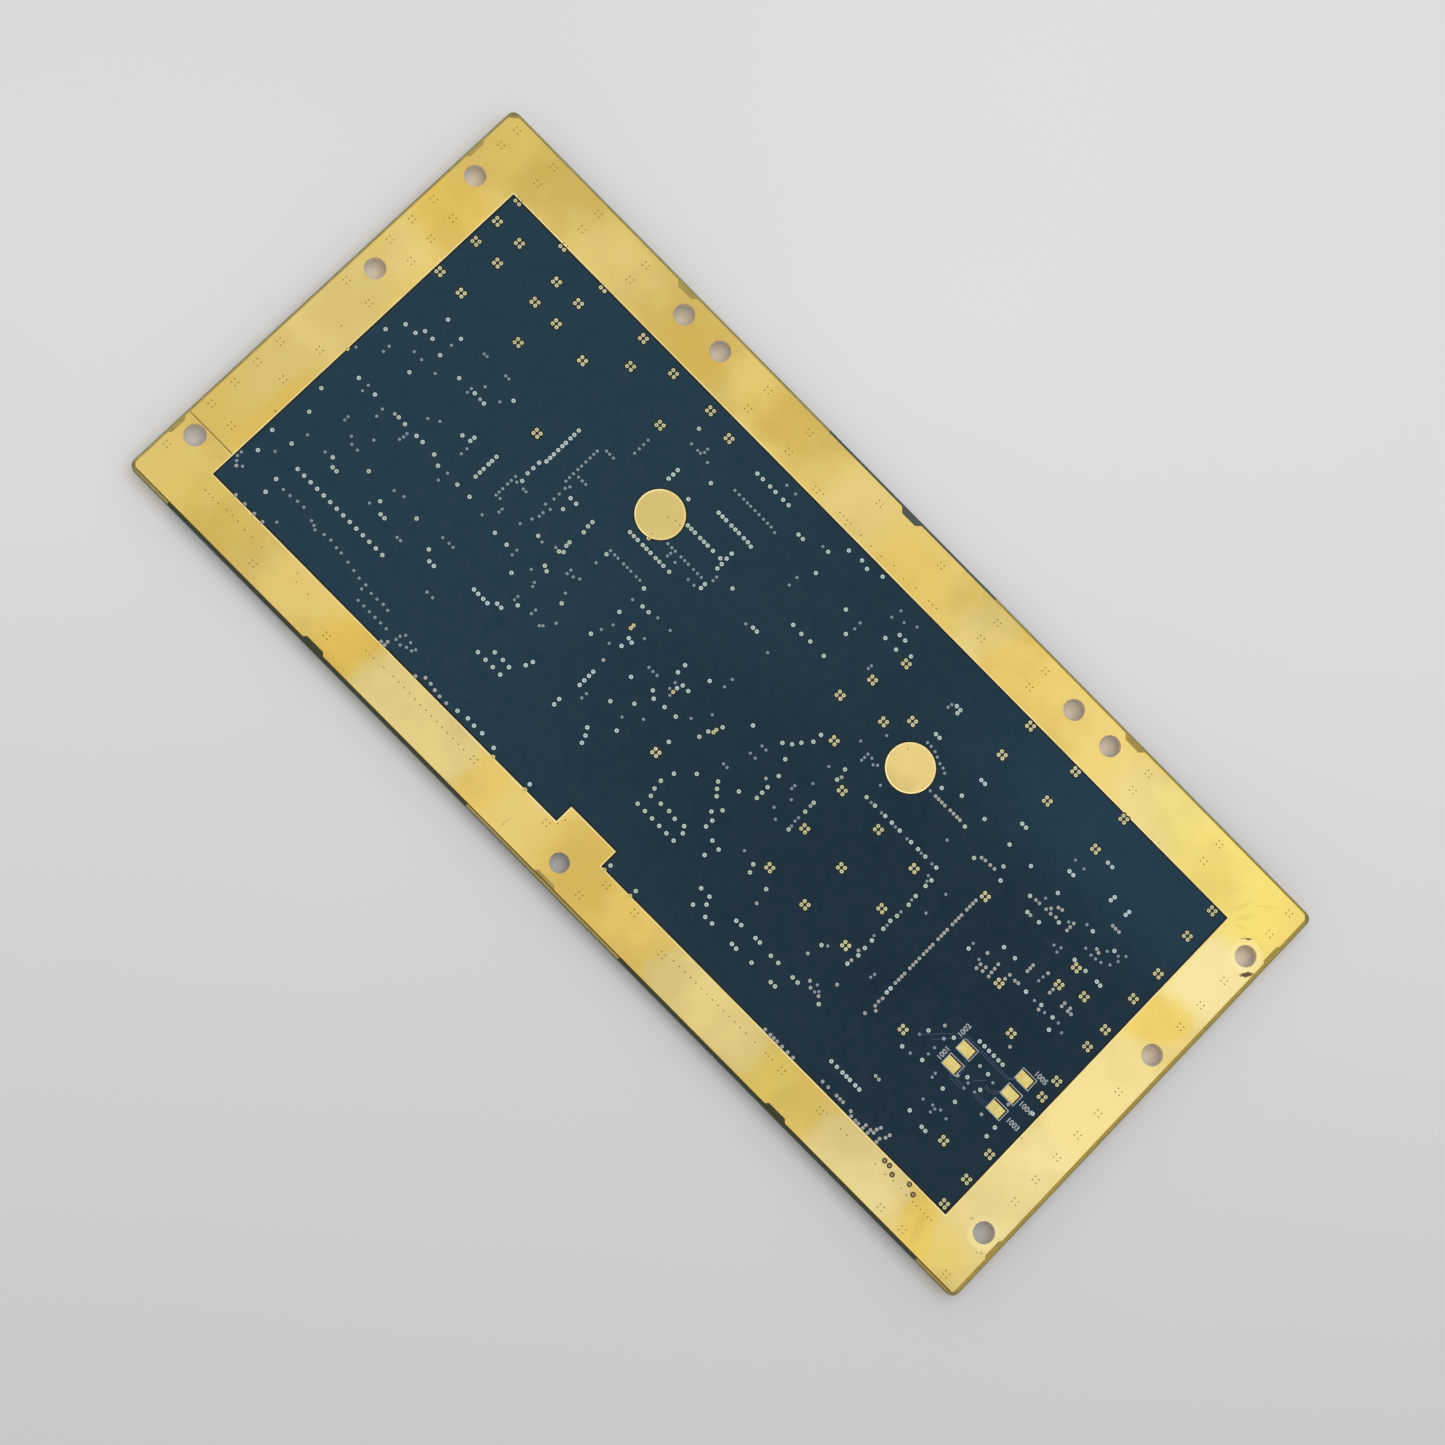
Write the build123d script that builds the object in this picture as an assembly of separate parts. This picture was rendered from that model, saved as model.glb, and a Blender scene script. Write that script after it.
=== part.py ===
from build123d import *
import os

os.makedirs("parts", exist_ok=True)

# Timing-control board, lying component side down as it rests on a bench.
# Millimetres. X runs along the board, Y towards the input connector, Z up.
# The origin is on the bench under the board's centre.

# Board outline
board_length = 221.4
board_width = 102.0
laminate_thickness = 1.5
corner_radius = 1.5
copper_thickness = 0.06
mask_thickness = 0.04

# Height of the connectors that the board stands on
stand_height = 2.9

# Screw holes, measured in from the edges or out from the centre line
screw_hole_radius = 2.18
output_hole_radius = 2.0
side_hole_inset = 4.4
upper_hole_inset = 14.8
middle_hole_inset = 41.7
lower_hole_inset = 13.0
top_hole_inset = 4.6
top_outer_offset = 58.95
top_inner_offset = 49.0
bottom_hole_inset = 5.1
output_step_shift = -0.25

# Gold-plated copper: pull-back from the edge and where the panel tabs were
copper_pullback_left = 0.5
copper_pullback_right = 0.85
copper_pullback_output = 0.75
copper_pullback_input = 0.5
copper_chamfers_input = [1.5, 0.8]
copper_chamfers_output = [0.7, 0.3]
tab_offset_x = 62.0
tab_offset_low = 39.0
tab_offset_high = 40.0
long_tab_length = 5.4
short_tab_length = 4.5
tab_depth_left = 0.5
tab_depth_right = 0.4
tab_depth_output = 0.6
tab_depth_input = 0.95
slit_height = 15.5
slit_width = 0.18

# Solder mask window on the rear
border_side = 12.05
border_top = 11.95
border_bottom = 10.2
gold_step_width = 12.0
gold_step_height = 4.0
output_strip_length = 80.0
output_strip_centre = 60.4
input_strip_length = 46.0

# Round ground pads that show through the mask
round_pad_radius = 5.0
round_pad_offset = 34.3
round_pad_height = 15.15

# Test pads, in two columns near the right end
test_pad_length = 3.15
test_pad_width = 2.1
test_pad_gap = 0.3
test_column_left = 79.7
test_column_right = 91.7
test_row_first = -19.7
test_row_pitch = 3.97

# Film-cable connectors along the output edge
film_pins = 60
film_pitch = 0.5
film_end_margin = 3.5
film_depth = 5.0
film_edge_gap = 1.2
film_outer_offset = 83.5
film_inner_offset = 41.4
film_cheek = 1.9
film_back_wall = 2.0
film_lip_depth = 0.6
film_lip_height = 0.8
film_edge_chamfer = 0.3
contact_width = 0.2
contact_height = 0.2
contact_tail = 0.8
contact_clearance = 0.04

# Flip lock of a film-cable connector
lock_barrel_radius = 0.55
lock_back_gap = 0.15
lock_top_gap = 0.25
lock_front_gap = 0.1
lock_side_gap = 0.15
lock_journal_length = 0.8
lock_running_clearance = 0.05
lock_notch_length = 6.0
lock_notch_depth = 0.35

# Solder anchors at the ends of a film-cable connector
anchor_width = 0.8
anchor_length = 2.4
anchor_sheet = 0.2
anchor_upstand = 1.1

# Input connector on the opposite edge
input_pins = 51
input_pitch = 0.5
input_end_margin = 4.5
input_depth = 6.0
input_edge_gap = 0.8
shell_sheet = 0.2
shell_foot = 0.3
shell_leg_length = 1.5
shell_leg_offset = 1.6
housing_clearance = 0.05
input_back_wall = 2.4
tongue_thickness = 0.6
tongue_height = 1.1
tongue_margin = 2.0
latch_window_length = 2.2
latch_window_depth = 1.0
latch_window_offset = 11.0

# Gull-wing leads shared by the moulded packages
lead_sheet = 0.15
lead_knee_share = 0.45
draft_angle = 7.0
pin_mark_bevel = 0.4

# Timing controller
controller_size = 20.0
controller_height = 1.5
controller_pins_per_side = 36
controller_pitch = 0.5
controller_lead_reach = 1.0
controller_lead_width = 0.22
controller_position = (39.0, -8.0)

# Two-sided packages: body length, body width, height, pins per side, pitch, lead reach
flash_size = (5.2, 5.2, 1.9, 4, 1.27, 1.3)
memory_size = (3.0, 4.4, 1.1, 4, 0.65, 1.0)
narrow_lead_width = 0.24
wide_lead_width = 0.4
flash_position = (22.5, -14.0)
memory_position = (10.0, -6.0)

# Flat packages with no leads: length, width, height
manager_size = (7.0, 7.0, 0.9)
shifter_size = (6.0, 6.0, 0.8)
buffer_size = (5.0, 5.0, 0.8)
manager_position = (75.0, 11.0)
shifter_positions = [(-57.0, -10.0), (-57.0, 4.0)]
buffer_position = (-22.5, 22.0)

# Switching transistors: body length, width, height, lead reach
transistor_size = (2.9, 1.4, 1.1, 0.55)
transistor_lead_spread = 1.9
transistor_positions = [(64.0, 0.0), (86.0, -6.0)]

# Moulded power inductors, storage capacitors and rectifier diodes: length, width, height
inductor_size = (6.6, 6.2, 2.8)
inductor_positions = [(64.0, 22.0), (75.0, 24.0), (86.0, 22.0)]
storage_size = (7.3, 4.3, 1.9)
storage_positions = [(-39.0, 36.0), (-30.0, 36.0), (22.0, 36.0), (31.5, 36.0)]
diode_size = (4.3, 2.6, 2.1)
diode_positions = [(62.0, 10.0), (88.0, 10.0), (88.0, 3.0)]
clip_sheet = 0.2
clip_foot = 0.9
clip_gap = 0.02
clip_width_share = 0.56

# Clock crystal and input fuse
crystal_base = (3.2, 2.5, 0.45)
crystal_lid = (2.7, 2.0, 0.3)
crystal_position = (22.5, -4.0)
fuse_size = (3.2, 1.6, 0.6)
fuse_position = (12.0, 36.0)

# Chip parts: length, width, height
large_chip = (3.2, 1.6, 1.6)
small_chip = (2.0, 1.25, 0.85)
resistor_chip = (1.6, 0.8, 0.45)
array_chip = (3.2, 1.6, 0.5)
large_chip_pitch = 4.0
small_chip_pitch = 3.0
resistor_pitch = 3.0
array_pitch = 5.0
manager_row_centre = (76.0, 31.5)
shifter_row_centre = (-57.0, 14.5)
end_row_centre = (94.0, 15.0)
output_row_centres = [(-80.0, -28.0), (80.0, -28.0)]
buffer_row_gap = 6.0
memory_row_gap = 6.0
film_row_gap = 9.0
film_array_gap = 14.0
input_row_gap = 8.0

# Levels, from the bench up
laminate_level = stand_height
rear_copper_level = laminate_level + laminate_thickness
rear_mask_level = rear_copper_level + copper_thickness

half_length = board_length / 2
half_width = board_width / 2


def save(name, solids):
    # One file holds one piece, or a group of like pieces.
    solids = list(solids)
    shape = solids[0] if len(solids) == 1 else Compound(children=solids)
    export_step(shape, f"parts/{name}.step")


def on_front(part, x, y, turn=0.0):
    # Parts are drawn standing on their solder side, then hung under the board.
    return Pos(x, y, laminate_level) * Rot(180, 0, turn) * part


def block(length, width, height):
    return Box(length, width, height, align=(Align.CENTER, Align.CENTER, Align.MIN))


def side_profile(points, length):
    # Outline in the Y-Z plane, drawn out equally to both sides along X.
    outline = make_face(Polyline(*points, close=True))
    face = Plane.YZ * outline
    return extrude(face, amount=length / 2, both=True)


def spread(count, pitch):
    # Evenly pitched offsets, centred on zero.
    count = round(count)
    first = -(count - 1) * pitch / 2
    return [first + index * pitch for index in range(count)]


# Board, copper and mask

def screw_hole_centres():
    side_x = half_length - side_hole_inset
    side_rows = [
        half_width - upper_hole_inset,
        half_width - middle_hole_inset,
        lower_hole_inset - half_width,
    ]
    side = [(sign * side_x, y) for y in side_rows for sign in (-1, 1)]
    top_y = half_width - top_hole_inset
    top = [(sign * x, top_y) for x in (top_outer_offset, top_inner_offset) for sign in (-1, 1)]
    return side + top


def screw_holes():
    holes = [Pos(x, y) * Circle(screw_hole_radius) for x, y in screw_hole_centres()]
    holes.append(Pos(output_step_shift, bottom_hole_inset - half_width) * Circle(output_hole_radius))
    return Sketch() + holes


def tab_notch(length, depth):
    # Half above and half below the X axis, so only the inner half bites.
    half = length / 2
    points = [(-half, depth), (-half, 0), (depth - half, -depth),
              (half - depth, -depth), (half, 0), (half, depth)]
    return make_face(Polyline(*points, close=True))


def tab_notches():
    # Where the board was broken out of its panel, the copper keeps further back.
    input_y = half_width - copper_pullback_input
    output_y = copper_pullback_output - half_width
    right_x = half_length - copper_pullback_right
    left_x = copper_pullback_left - half_length
    notches = []
    for x in (-tab_offset_x, 0.0, tab_offset_x):
        notches.append(Pos(x, input_y) * tab_notch(long_tab_length, tab_depth_input))
        notches.append(Pos(x, output_y) * Rot(0, 0, 180) * tab_notch(long_tab_length, tab_depth_output))
    for y in (-tab_offset_low, tab_offset_high):
        notches.append(Pos(right_x, y) * Rot(0, 0, -90) * tab_notch(short_tab_length, tab_depth_right))
        notches.append(Pos(left_x, y) * Rot(0, 0, 90) * tab_notch(short_tab_length, tab_depth_left))
    return notches


def board_outline():
    return RectangleRounded(board_length, board_width, corner_radius)


def copper_outline():
    length = board_length - copper_pullback_left - copper_pullback_right
    width = board_width - copper_pullback_output - copper_pullback_input
    outline = Rectangle(length, width)
    for side, legs in ((1, copper_chamfers_input), (-1, copper_chamfers_output)):
        for end, leg in zip((-1, 1), legs):
            corner = (end * length / 2, side * width / 2)
            outline = chamfer(outline.vertices().sort_by_distance(corner)[0], leg)
    shift_x = (copper_pullback_left - copper_pullback_right) / 2
    shift_y = (copper_pullback_output - copper_pullback_input) / 2
    return Pos(shift_x, shift_y) * outline - tab_notches() - screw_holes()


def test_pad_centres():
    rows = [test_row_first + index * test_row_pitch for index in range(3)]
    left = [(test_column_left, y) for y in rows[:2]]
    right = [(test_column_right, y) for y in rows]
    return left + right


def test_pads(margin=0.0):
    pad = Rectangle(test_pad_length + 2 * margin, test_pad_width + 2 * margin)
    return [Pos(x, y) * pad for x, y in test_pad_centres()]


def mask_window():
    width = board_length - 2 * border_side
    height = board_width - border_top - border_bottom
    centre_y = (border_bottom - border_top) / 2
    return Pos(0, centre_y) * Rectangle(width, height)


def inner_notch(depth):
    below = Pos(0, -depth) * Rectangle(long_tab_length, 2 * depth)
    return tab_notch(long_tab_length, depth) & below


def edge_strips():
    # Bare laminate beside the connectors carries mask out to the board's edge.
    output = Rectangle(output_strip_length, copper_pullback_output)
    output_y = copper_pullback_output - half_width
    strips = []
    for sign in (-1, 1):
        strip = Pos(sign * output_strip_centre, output_y - copper_pullback_output / 2) * output
        notch = Pos(sign * tab_offset_x, output_y) * Rot(0, 0, 180) * inner_notch(tab_depth_output)
        strips.append(strip + notch)
    input_y = half_width - copper_pullback_input
    strip = Rectangle(input_strip_length, copper_pullback_input)
    notch = Pos(0, input_y) * inner_notch(tab_depth_input)
    strips.append(Pos(0, input_y + copper_pullback_input / 2) * strip + notch)
    return strips


def layer(outline, thickness, level):
    return Pos(0, 0, level) * extrude(outline, amount=thickness)


def make_board():
    laminate = board_outline() - screw_holes()
    save("board_laminate", layer(laminate, laminate_thickness, laminate_level).solids())

    slit_length = border_side - copper_pullback_left
    slit_x = copper_pullback_left + slit_length / 2 - half_length
    slit = Pos(slit_x, slit_height - half_width) * Rectangle(slit_length, slit_width)
    rear_copper = copper_outline() - test_pads(test_pad_gap) - slit
    save("rear_ground_plane", layer(rear_copper, copper_thickness, rear_copper_level).solids())
    pads = Sketch() + test_pads()
    save("rear_test_pads", layer(pads, copper_thickness, rear_copper_level).solids())

    gold_step_y = border_bottom + gold_step_height / 2 - half_width
    rounds = [Pos(sign * round_pad_offset, round_pad_height) * Circle(round_pad_radius)
              for sign in (-1, 1)]
    window = mask_window() - rounds - test_pads()
    window -= Pos(output_step_shift, gold_step_y) * Rectangle(gold_step_width, gold_step_height)
    rear_mask = layer(window, mask_thickness, rear_mask_level).solids()
    for strip in edge_strips():
        rear_mask += layer(strip, mask_thickness, rear_copper_level).solids()
    save("rear_solder_mask", rear_mask)


# Film-cable connectors

film_length = (film_pins - 1) * film_pitch + 2 * film_end_margin
film_y = film_edge_gap + film_depth / 2 - half_width
film_places = [-film_outer_offset, -film_inner_offset, film_inner_offset, film_outer_offset]
lock_barrel_y = film_back_wall + lock_back_gap + lock_barrel_radius - film_depth / 2
lock_barrel_z = stand_height - lock_top_gap - lock_barrel_radius
lock_length = film_length - 2 * (film_cheek + lock_side_gap)


def film_housing():
    back = -film_depth / 2
    front = film_depth / 2
    top = stand_height
    bevel = film_edge_chamfer
    base = contact_height + contact_clearance
    wall_front = back + film_back_wall
    wall = [(back, base), (wall_front, base), (wall_front, top), (back + bevel, top),
            (back, top - bevel)]
    lip_back = front - film_lip_depth
    lip = [(lip_back, base), (front, base), (front, film_lip_height - bevel),
           (front - bevel, film_lip_height), (lip_back, film_lip_height)]
    cheek = [(back, 0), (front, 0), (front, top - bevel), (front - bevel, top),
             (back + bevel, top), (back, top - bevel)]
    inner_length = film_length - 2 * film_cheek
    housing = side_profile(wall, inner_length) + side_profile(lip, inner_length)
    for sign in (-1, 1):
        cheek_x = sign * (film_length - film_cheek) / 2
        housing += Pos(cheek_x, 0, 0) * side_profile(cheek, film_cheek)
    pocket_reach = lock_length / 2 + lock_side_gap + lock_journal_length
    pocket_side = 2 * (lock_barrel_radius + lock_running_clearance)
    pocket = Box(2 * (pocket_reach + lock_running_clearance), pocket_side, pocket_side)
    return housing - Pos(0, lock_barrel_y, lock_barrel_z) * pocket


def film_lock():
    # A flap on a round bar, whose ends turn in the pockets of the cheeks.
    flap_front = film_depth / 2 - lock_front_gap
    low = lock_barrel_z - lock_barrel_radius
    high = lock_barrel_z + lock_barrel_radius
    flap = [(lock_barrel_y, low), (flap_front - lock_notch_depth, low),
            (flap_front, low + lock_notch_depth), (flap_front, high), (lock_barrel_y, high)]
    lock = side_profile(flap, lock_length)
    bar_length = lock_length + 2 * (lock_side_gap + lock_journal_length)
    bar = Cylinder(lock_barrel_radius, bar_length)
    lock += Pos(0, lock_barrel_y, lock_barrel_z) * Rot(0, 90, 0) * bar
    notch = Box(lock_notch_length, 2 * lock_notch_depth, 2 * lock_notch_depth)
    return lock - Pos(0, flap_front, high) * notch


def film_contacts():
    back = -film_depth / 2 - contact_tail
    front = film_depth / 2 - film_lip_depth - contact_clearance
    strip = block(contact_width, front - back, contact_height)
    strip_y = (back + front) / 2
    return [Pos(x, strip_y, 0) * strip for x in spread(film_pins, film_pitch)]


def film_anchors():
    # Folded tabs soldered beside each cheek.
    half = film_length / 2 + contact_clearance
    points = [(0, 0), (anchor_width, 0), (anchor_width, anchor_sheet),
              (anchor_sheet, anchor_sheet), (anchor_sheet, anchor_upstand), (0, anchor_upstand)]
    outline = make_face(Polyline(*points, close=True))
    tab = extrude(Plane.XZ * outline, amount=anchor_length / 2, both=True)
    return [Pos(half, 0, 0) * tab, Rot(0, 0, 180) * Pos(half, 0, 0) * tab]


def make_film_connectors():
    housing = film_housing()
    contacts = film_contacts()
    anchors = film_anchors()
    lock = film_lock()
    placed_anchors = []
    for number, x in enumerate(film_places, start=1):
        save(f"film_connector_{number}_housing", [on_front(housing, x, film_y)])
        save(f"film_connector_{number}_lock", [on_front(lock, x, film_y)])
        placed = [on_front(contact, x, film_y) for contact in contacts]
        save(f"film_connector_{number}_contacts", placed)
        placed_anchors += [on_front(anchor, x, film_y) for anchor in anchors]
    save("film_connector_anchors", placed_anchors)


# Input connector

input_length = (input_pins - 1) * input_pitch + 2 * input_end_margin
input_y = half_width - input_edge_gap - input_depth / 2


def input_shell():
    height = stand_height - shell_foot
    outer = Rectangle(input_length, height)
    inner = Rectangle(input_length - 2 * shell_sheet, height - 2 * shell_sheet)
    ring = Plane.XZ * Pos(0, shell_foot + height / 2) * (outer - inner)
    shell = extrude(ring, amount=input_depth / 2, both=True)
    leg = block(shell_sheet, shell_leg_length, shell_foot)
    leg_x = (input_length - shell_sheet) / 2
    for sign in (-1, 1):
        for leg_y in (-shell_leg_offset, shell_leg_offset):
            shell += Pos(sign * leg_x, leg_y, 0) * leg
        window = Box(latch_window_length, latch_window_depth, 4 * shell_sheet)
        shell -= Pos(sign * latch_window_offset, shell_leg_offset, stand_height) * window
    return shell


def input_housing():
    inset = shell_sheet + housing_clearance
    length = input_length - 2 * inset
    low = shell_foot + inset
    high = stand_height - inset
    back = -input_depth / 2
    front = input_depth / 2 - 2 * shell_sheet
    wall_front = back + input_back_wall
    tongue_top = tongue_height + tongue_thickness
    outline = [(back, low), (wall_front, low), (wall_front, tongue_height), (front, tongue_height),
               (front, tongue_top), (wall_front, tongue_top), (wall_front, high), (back, high)]
    housing = side_profile(outline, length)
    for sign in (-1, 1):
        relief = block(tongue_margin, front - wall_front, high)
        relief_x = sign * (length - tongue_margin) / 2
        housing -= Pos(relief_x, (front + wall_front) / 2, low) * relief
    return housing


def input_contacts():
    back = -input_depth / 2 - contact_tail
    front = -input_depth / 2 + input_back_wall
    strip = block(contact_width, front - back, contact_height)
    strip_y = (back + front) / 2
    return [Pos(x, strip_y, 0) * strip for x in spread(input_pins, input_pitch)]


def make_input_connector():
    save("input_connector_shell", [on_front(input_shell(), 0, input_y, 180)])
    save("input_connector_housing", [on_front(input_housing(), 0, input_y, 180)])
    placed = [on_front(contact, 0, input_y, 180) for contact in input_contacts()]
    save("input_connector_contacts", placed)


# Moulded packages with gull-wing leads

def moulded_body(length, width, height, standoff):
    # Two drafted halves meet at the lead level, with one corner cut as the pin mark.
    half = (height - standoff) / 2
    middle = Rectangle(length, width)
    middle = chamfer(middle.vertices().sort_by(lambda v: v.X + v.Y)[0], pin_mark_bevel)
    level = standoff + half
    body = Pos(0, 0, level) * extrude(middle, amount=half, taper=draft_angle)
    return body + Pos(0, 0, level) * extrude(middle, amount=-half, taper=draft_angle)


def gull_lead(level, reach, width):
    # Outline grows along +Y from the body's side, from lead level to the solder.
    half = lead_sheet / 2
    knee = reach * lead_knee_share
    points = [(0, level - half), (knee, 0), (reach, 0), (reach, lead_sheet),
              (knee + half, lead_sheet), (0, level + half)]
    return side_profile(points, width)


def lead_row(count, pitch, offset, lead):
    return [Pos(x, offset, 0) * lead for x in spread(count, pitch)]


def two_sided_package(size, lead_width):
    length, width, height, pins, pitch, reach = size
    standoff = lead_sheet
    body = moulded_body(length, width, height, standoff)
    lead = gull_lead((height + standoff) / 2, reach, lead_width)
    row = lead_row(pins, pitch, width / 2, lead)
    return body, row + [Rot(0, 0, 180) * item for item in row]


def save_package(name, package, positions, turn=0.0):
    body, leads = package
    save(f"{name}_body", [on_front(body, x, y, turn) for x, y in positions])
    placed = [on_front(lead, x, y, turn) for x, y in positions for lead in leads]
    save(f"{name}_leads", placed)


def save_flat_package(name, size, positions):
    length, width, height = size
    outline = Rectangle(length, width)
    outline = chamfer(outline.vertices().sort_by(lambda v: v.X + v.Y)[0], pin_mark_bevel)
    body = extrude(outline, amount=height)
    save(name, [on_front(body, x, y) for x, y in positions])


def make_packages():
    standoff = lead_sheet
    body = moulded_body(controller_size, controller_size, controller_height, standoff)
    level = (controller_height + standoff) / 2
    lead = gull_lead(level, controller_lead_reach, controller_lead_width)
    row = lead_row(controller_pins_per_side, controller_pitch, controller_size / 2, lead)
    leads = [Rot(0, 0, 90 * side) * item for side in range(4) for item in row]
    save_package("timing_controller", (body, leads), [controller_position])

    flash = two_sided_package(flash_size, wide_lead_width)
    save_package("flash_memory", flash, [flash_position])
    memory = two_sided_package(memory_size, narrow_lead_width)
    save_package("setting_memory", memory, [memory_position])

    save_flat_package("power_manager", manager_size, [manager_position])
    save_flat_package("level_shifters", shifter_size, shifter_positions)
    save_flat_package("reference_buffer", buffer_size, [buffer_position])

    length, width, height, reach = transistor_size
    body = moulded_body(length, width, height, standoff)
    lead = gull_lead((height + standoff) / 2, reach, wide_lead_width)
    leads = lead_row(2, transistor_lead_spread, width / 2, lead)
    leads += [Rot(0, 0, 180) * item for item in lead_row(1, 0, width / 2, lead)]
    save_package("switching_transistor", (body, leads), transistor_positions)


# Moulded power parts between folded clips

def clipped_part(size):
    # Drafted body between two folded clips.
    length, width, height = size
    body_length = length - 2 * (clip_sheet + clip_gap)
    body = moulded_body(body_length, width, height, clip_sheet + clip_gap)
    level = (height + clip_sheet) / 2
    end = length / 2
    points = [(end, 0), (end, level), (end - clip_sheet, level), (end - clip_sheet, clip_sheet),
              (end - clip_foot, clip_sheet), (end - clip_foot, 0)]
    outline = make_face(Polyline(*points, close=True))
    clip = extrude(Plane.XZ * outline, amount=width * clip_width_share / 2, both=True)
    return body, [clip, Rot(0, 0, 180) * clip]


def save_clipped_parts(name, size, positions):
    body, clips = clipped_part(size)
    save(f"{name}_bodies", [on_front(body, x, y) for x, y in positions])
    placed = [on_front(clip, x, y) for x, y in positions for clip in clips]
    save(f"{name}_clips", placed)


# Chip parts, set out in rows beside what they serve

def chip_row(centre, count, pitch, along_x=True):
    x, y = centre
    if along_x:
        return [(x + offset, y) for offset in spread(count, pitch)]
    return [(x, y + offset) for offset in spread(count, pitch)]


def make_chips():
    large_rows = [
        (chip_row(manager_row_centre, 8, large_chip_pitch), 90),
        (chip_row(shifter_row_centre, 7, large_chip_pitch), 90),
        (chip_row(end_row_centre, 6, large_chip_pitch, along_x=False), 0),
    ]
    save_chips("large_ceramic_capacitors", large_chip, large_rows)

    controller_x, controller_y = controller_position
    buffer_x, buffer_y = buffer_position
    memory_x, memory_y = memory_position
    clear = controller_size / 2 + controller_lead_reach + small_chip[0]
    small_rows = [
        (chip_row((controller_x, controller_y - clear), 7, small_chip_pitch), 90),
        (chip_row((controller_x, controller_y + clear), 7, small_chip_pitch), 90),
        (chip_row((controller_x + clear, controller_y), 7, small_chip_pitch, along_x=False), 0),
        (chip_row((buffer_x, buffer_y + buffer_row_gap), 5, small_chip_pitch), 90),
        (chip_row((buffer_x, buffer_y - buffer_row_gap), 5, small_chip_pitch), 90),
    ]
    small_rows += [(chip_row((x, film_y + film_row_gap), 6, array_pitch), 0) for x in film_places]
    save_chips("small_ceramic_capacitors", small_chip, small_rows)

    resistor_rows = [(chip_row(centre, 11, resistor_pitch), 90) for centre in output_row_centres]
    resistor_rows += [
        (chip_row((memory_x, memory_y - memory_row_gap), 4, resistor_pitch), 90),
        (chip_row((0.0, input_y - input_row_gap), 9, resistor_pitch), 90),
    ]
    save_chips("chip_resistors", resistor_chip, resistor_rows)

    inner_places = [-film_inner_offset, film_inner_offset]
    array_rows = [(chip_row((x, film_y + film_array_gap), 6, array_pitch), 0) for x in inner_places]
    save_chips("resistor_arrays", array_chip, array_rows)

    save("input_fuse", [on_front(block(*fuse_size), *fuse_position)])
    crystal = block(*crystal_base) + Pos(0, 0, crystal_base[2]) * block(*crystal_lid)
    save("clock_crystal", [on_front(crystal, *crystal_position)])


def save_chips(name, size, rows):
    chip = block(*size)
    save(name, [on_front(chip, x, y, turn) for centres, turn in rows for x, y in centres])


make_board()
make_film_connectors()
make_input_connector()
make_packages()
save_clipped_parts("power_inductor", inductor_size, inductor_positions)
save_clipped_parts("storage_capacitor", storage_size, storage_positions)
save_clipped_parts("rectifier", diode_size, diode_positions)
make_chips()
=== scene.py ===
import bpy
import bmesh
import math
from mathutils import Matrix, Vector


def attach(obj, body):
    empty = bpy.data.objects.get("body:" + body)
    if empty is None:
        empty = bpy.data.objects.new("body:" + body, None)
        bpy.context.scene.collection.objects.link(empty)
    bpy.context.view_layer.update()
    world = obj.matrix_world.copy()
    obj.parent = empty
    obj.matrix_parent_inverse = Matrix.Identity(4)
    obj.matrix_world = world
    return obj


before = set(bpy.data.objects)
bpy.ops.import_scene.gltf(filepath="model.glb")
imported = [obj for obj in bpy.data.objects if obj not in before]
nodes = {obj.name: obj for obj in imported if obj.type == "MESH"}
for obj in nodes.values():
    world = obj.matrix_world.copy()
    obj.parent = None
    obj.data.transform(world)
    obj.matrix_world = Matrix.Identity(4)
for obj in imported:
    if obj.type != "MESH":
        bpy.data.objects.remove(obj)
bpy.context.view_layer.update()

# Places on the board are in millimetres, read with the gold side up from a mark at the lower left
boardSize = {"length": 221.4, "width": 102.0}
boardMiddle = {"x": 111.0, "y": 51.0}

# Heights over the bench in millimetres
level = {"underside": 2.9, "laminateTop": 4.4, "goldTop": 4.46, "maskTop": 4.5}


def mm(value):
    return value / 1000.0


def onBoard(x, y, z=0.0):
    return Vector((mm(x - boardMiddle["x"]), mm(y - boardMiddle["y"]), mm(z)))


def rowOf(x0, y0, x1, y1, count):
    step = 1.0 / (count - 1)
    return [(x0 + (x1 - x0) * i * step, y0 + (y1 - y0) * i * step) for i in range(count)]


def columnOf(x, *heights):
    return [(x, y) for y in heights]


def lineOf(y, *places):
    return [(x, y) for x in places]


# Materials
def setInputs(tree, node, inputs):
    # joins or sets a node's sockets, by their names or numbers
    for socket, value in inputs.items():
        if isinstance(value, bpy.types.NodeSocket):
            tree.links.new(value, node.inputs[socket])
        else:
            node.inputs[socket].default_value = value


def addNode(tree, kind, inputs):
    node = tree.nodes.new(kind)
    setInputs(tree, node, inputs)
    return node


def startMaterial(name):
    material = bpy.data.materials.new(name)
    material.use_nodes = True
    tree = material.node_tree
    where = tree.nodes.new("ShaderNodeTexCoord").outputs["Object"]
    return material, tree, tree.nodes["Principled BSDF"], where


def splitPlace(tree, where):
    return addNode(tree, "ShaderNodeSeparateXYZ", {0: where}).outputs


def addNoise(tree, where, scale, detail=2.0, stretch=(1, 1, 1)):
    spread = addNode(tree, "ShaderNodeMapping", {"Vector": where, "Scale": stretch})
    grain = addNode(tree, "ShaderNodeTexNoise", {
        "Vector": spread.outputs["Vector"], "Scale": scale, "Detail": detail})
    return grain.outputs["Fac"]


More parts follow.
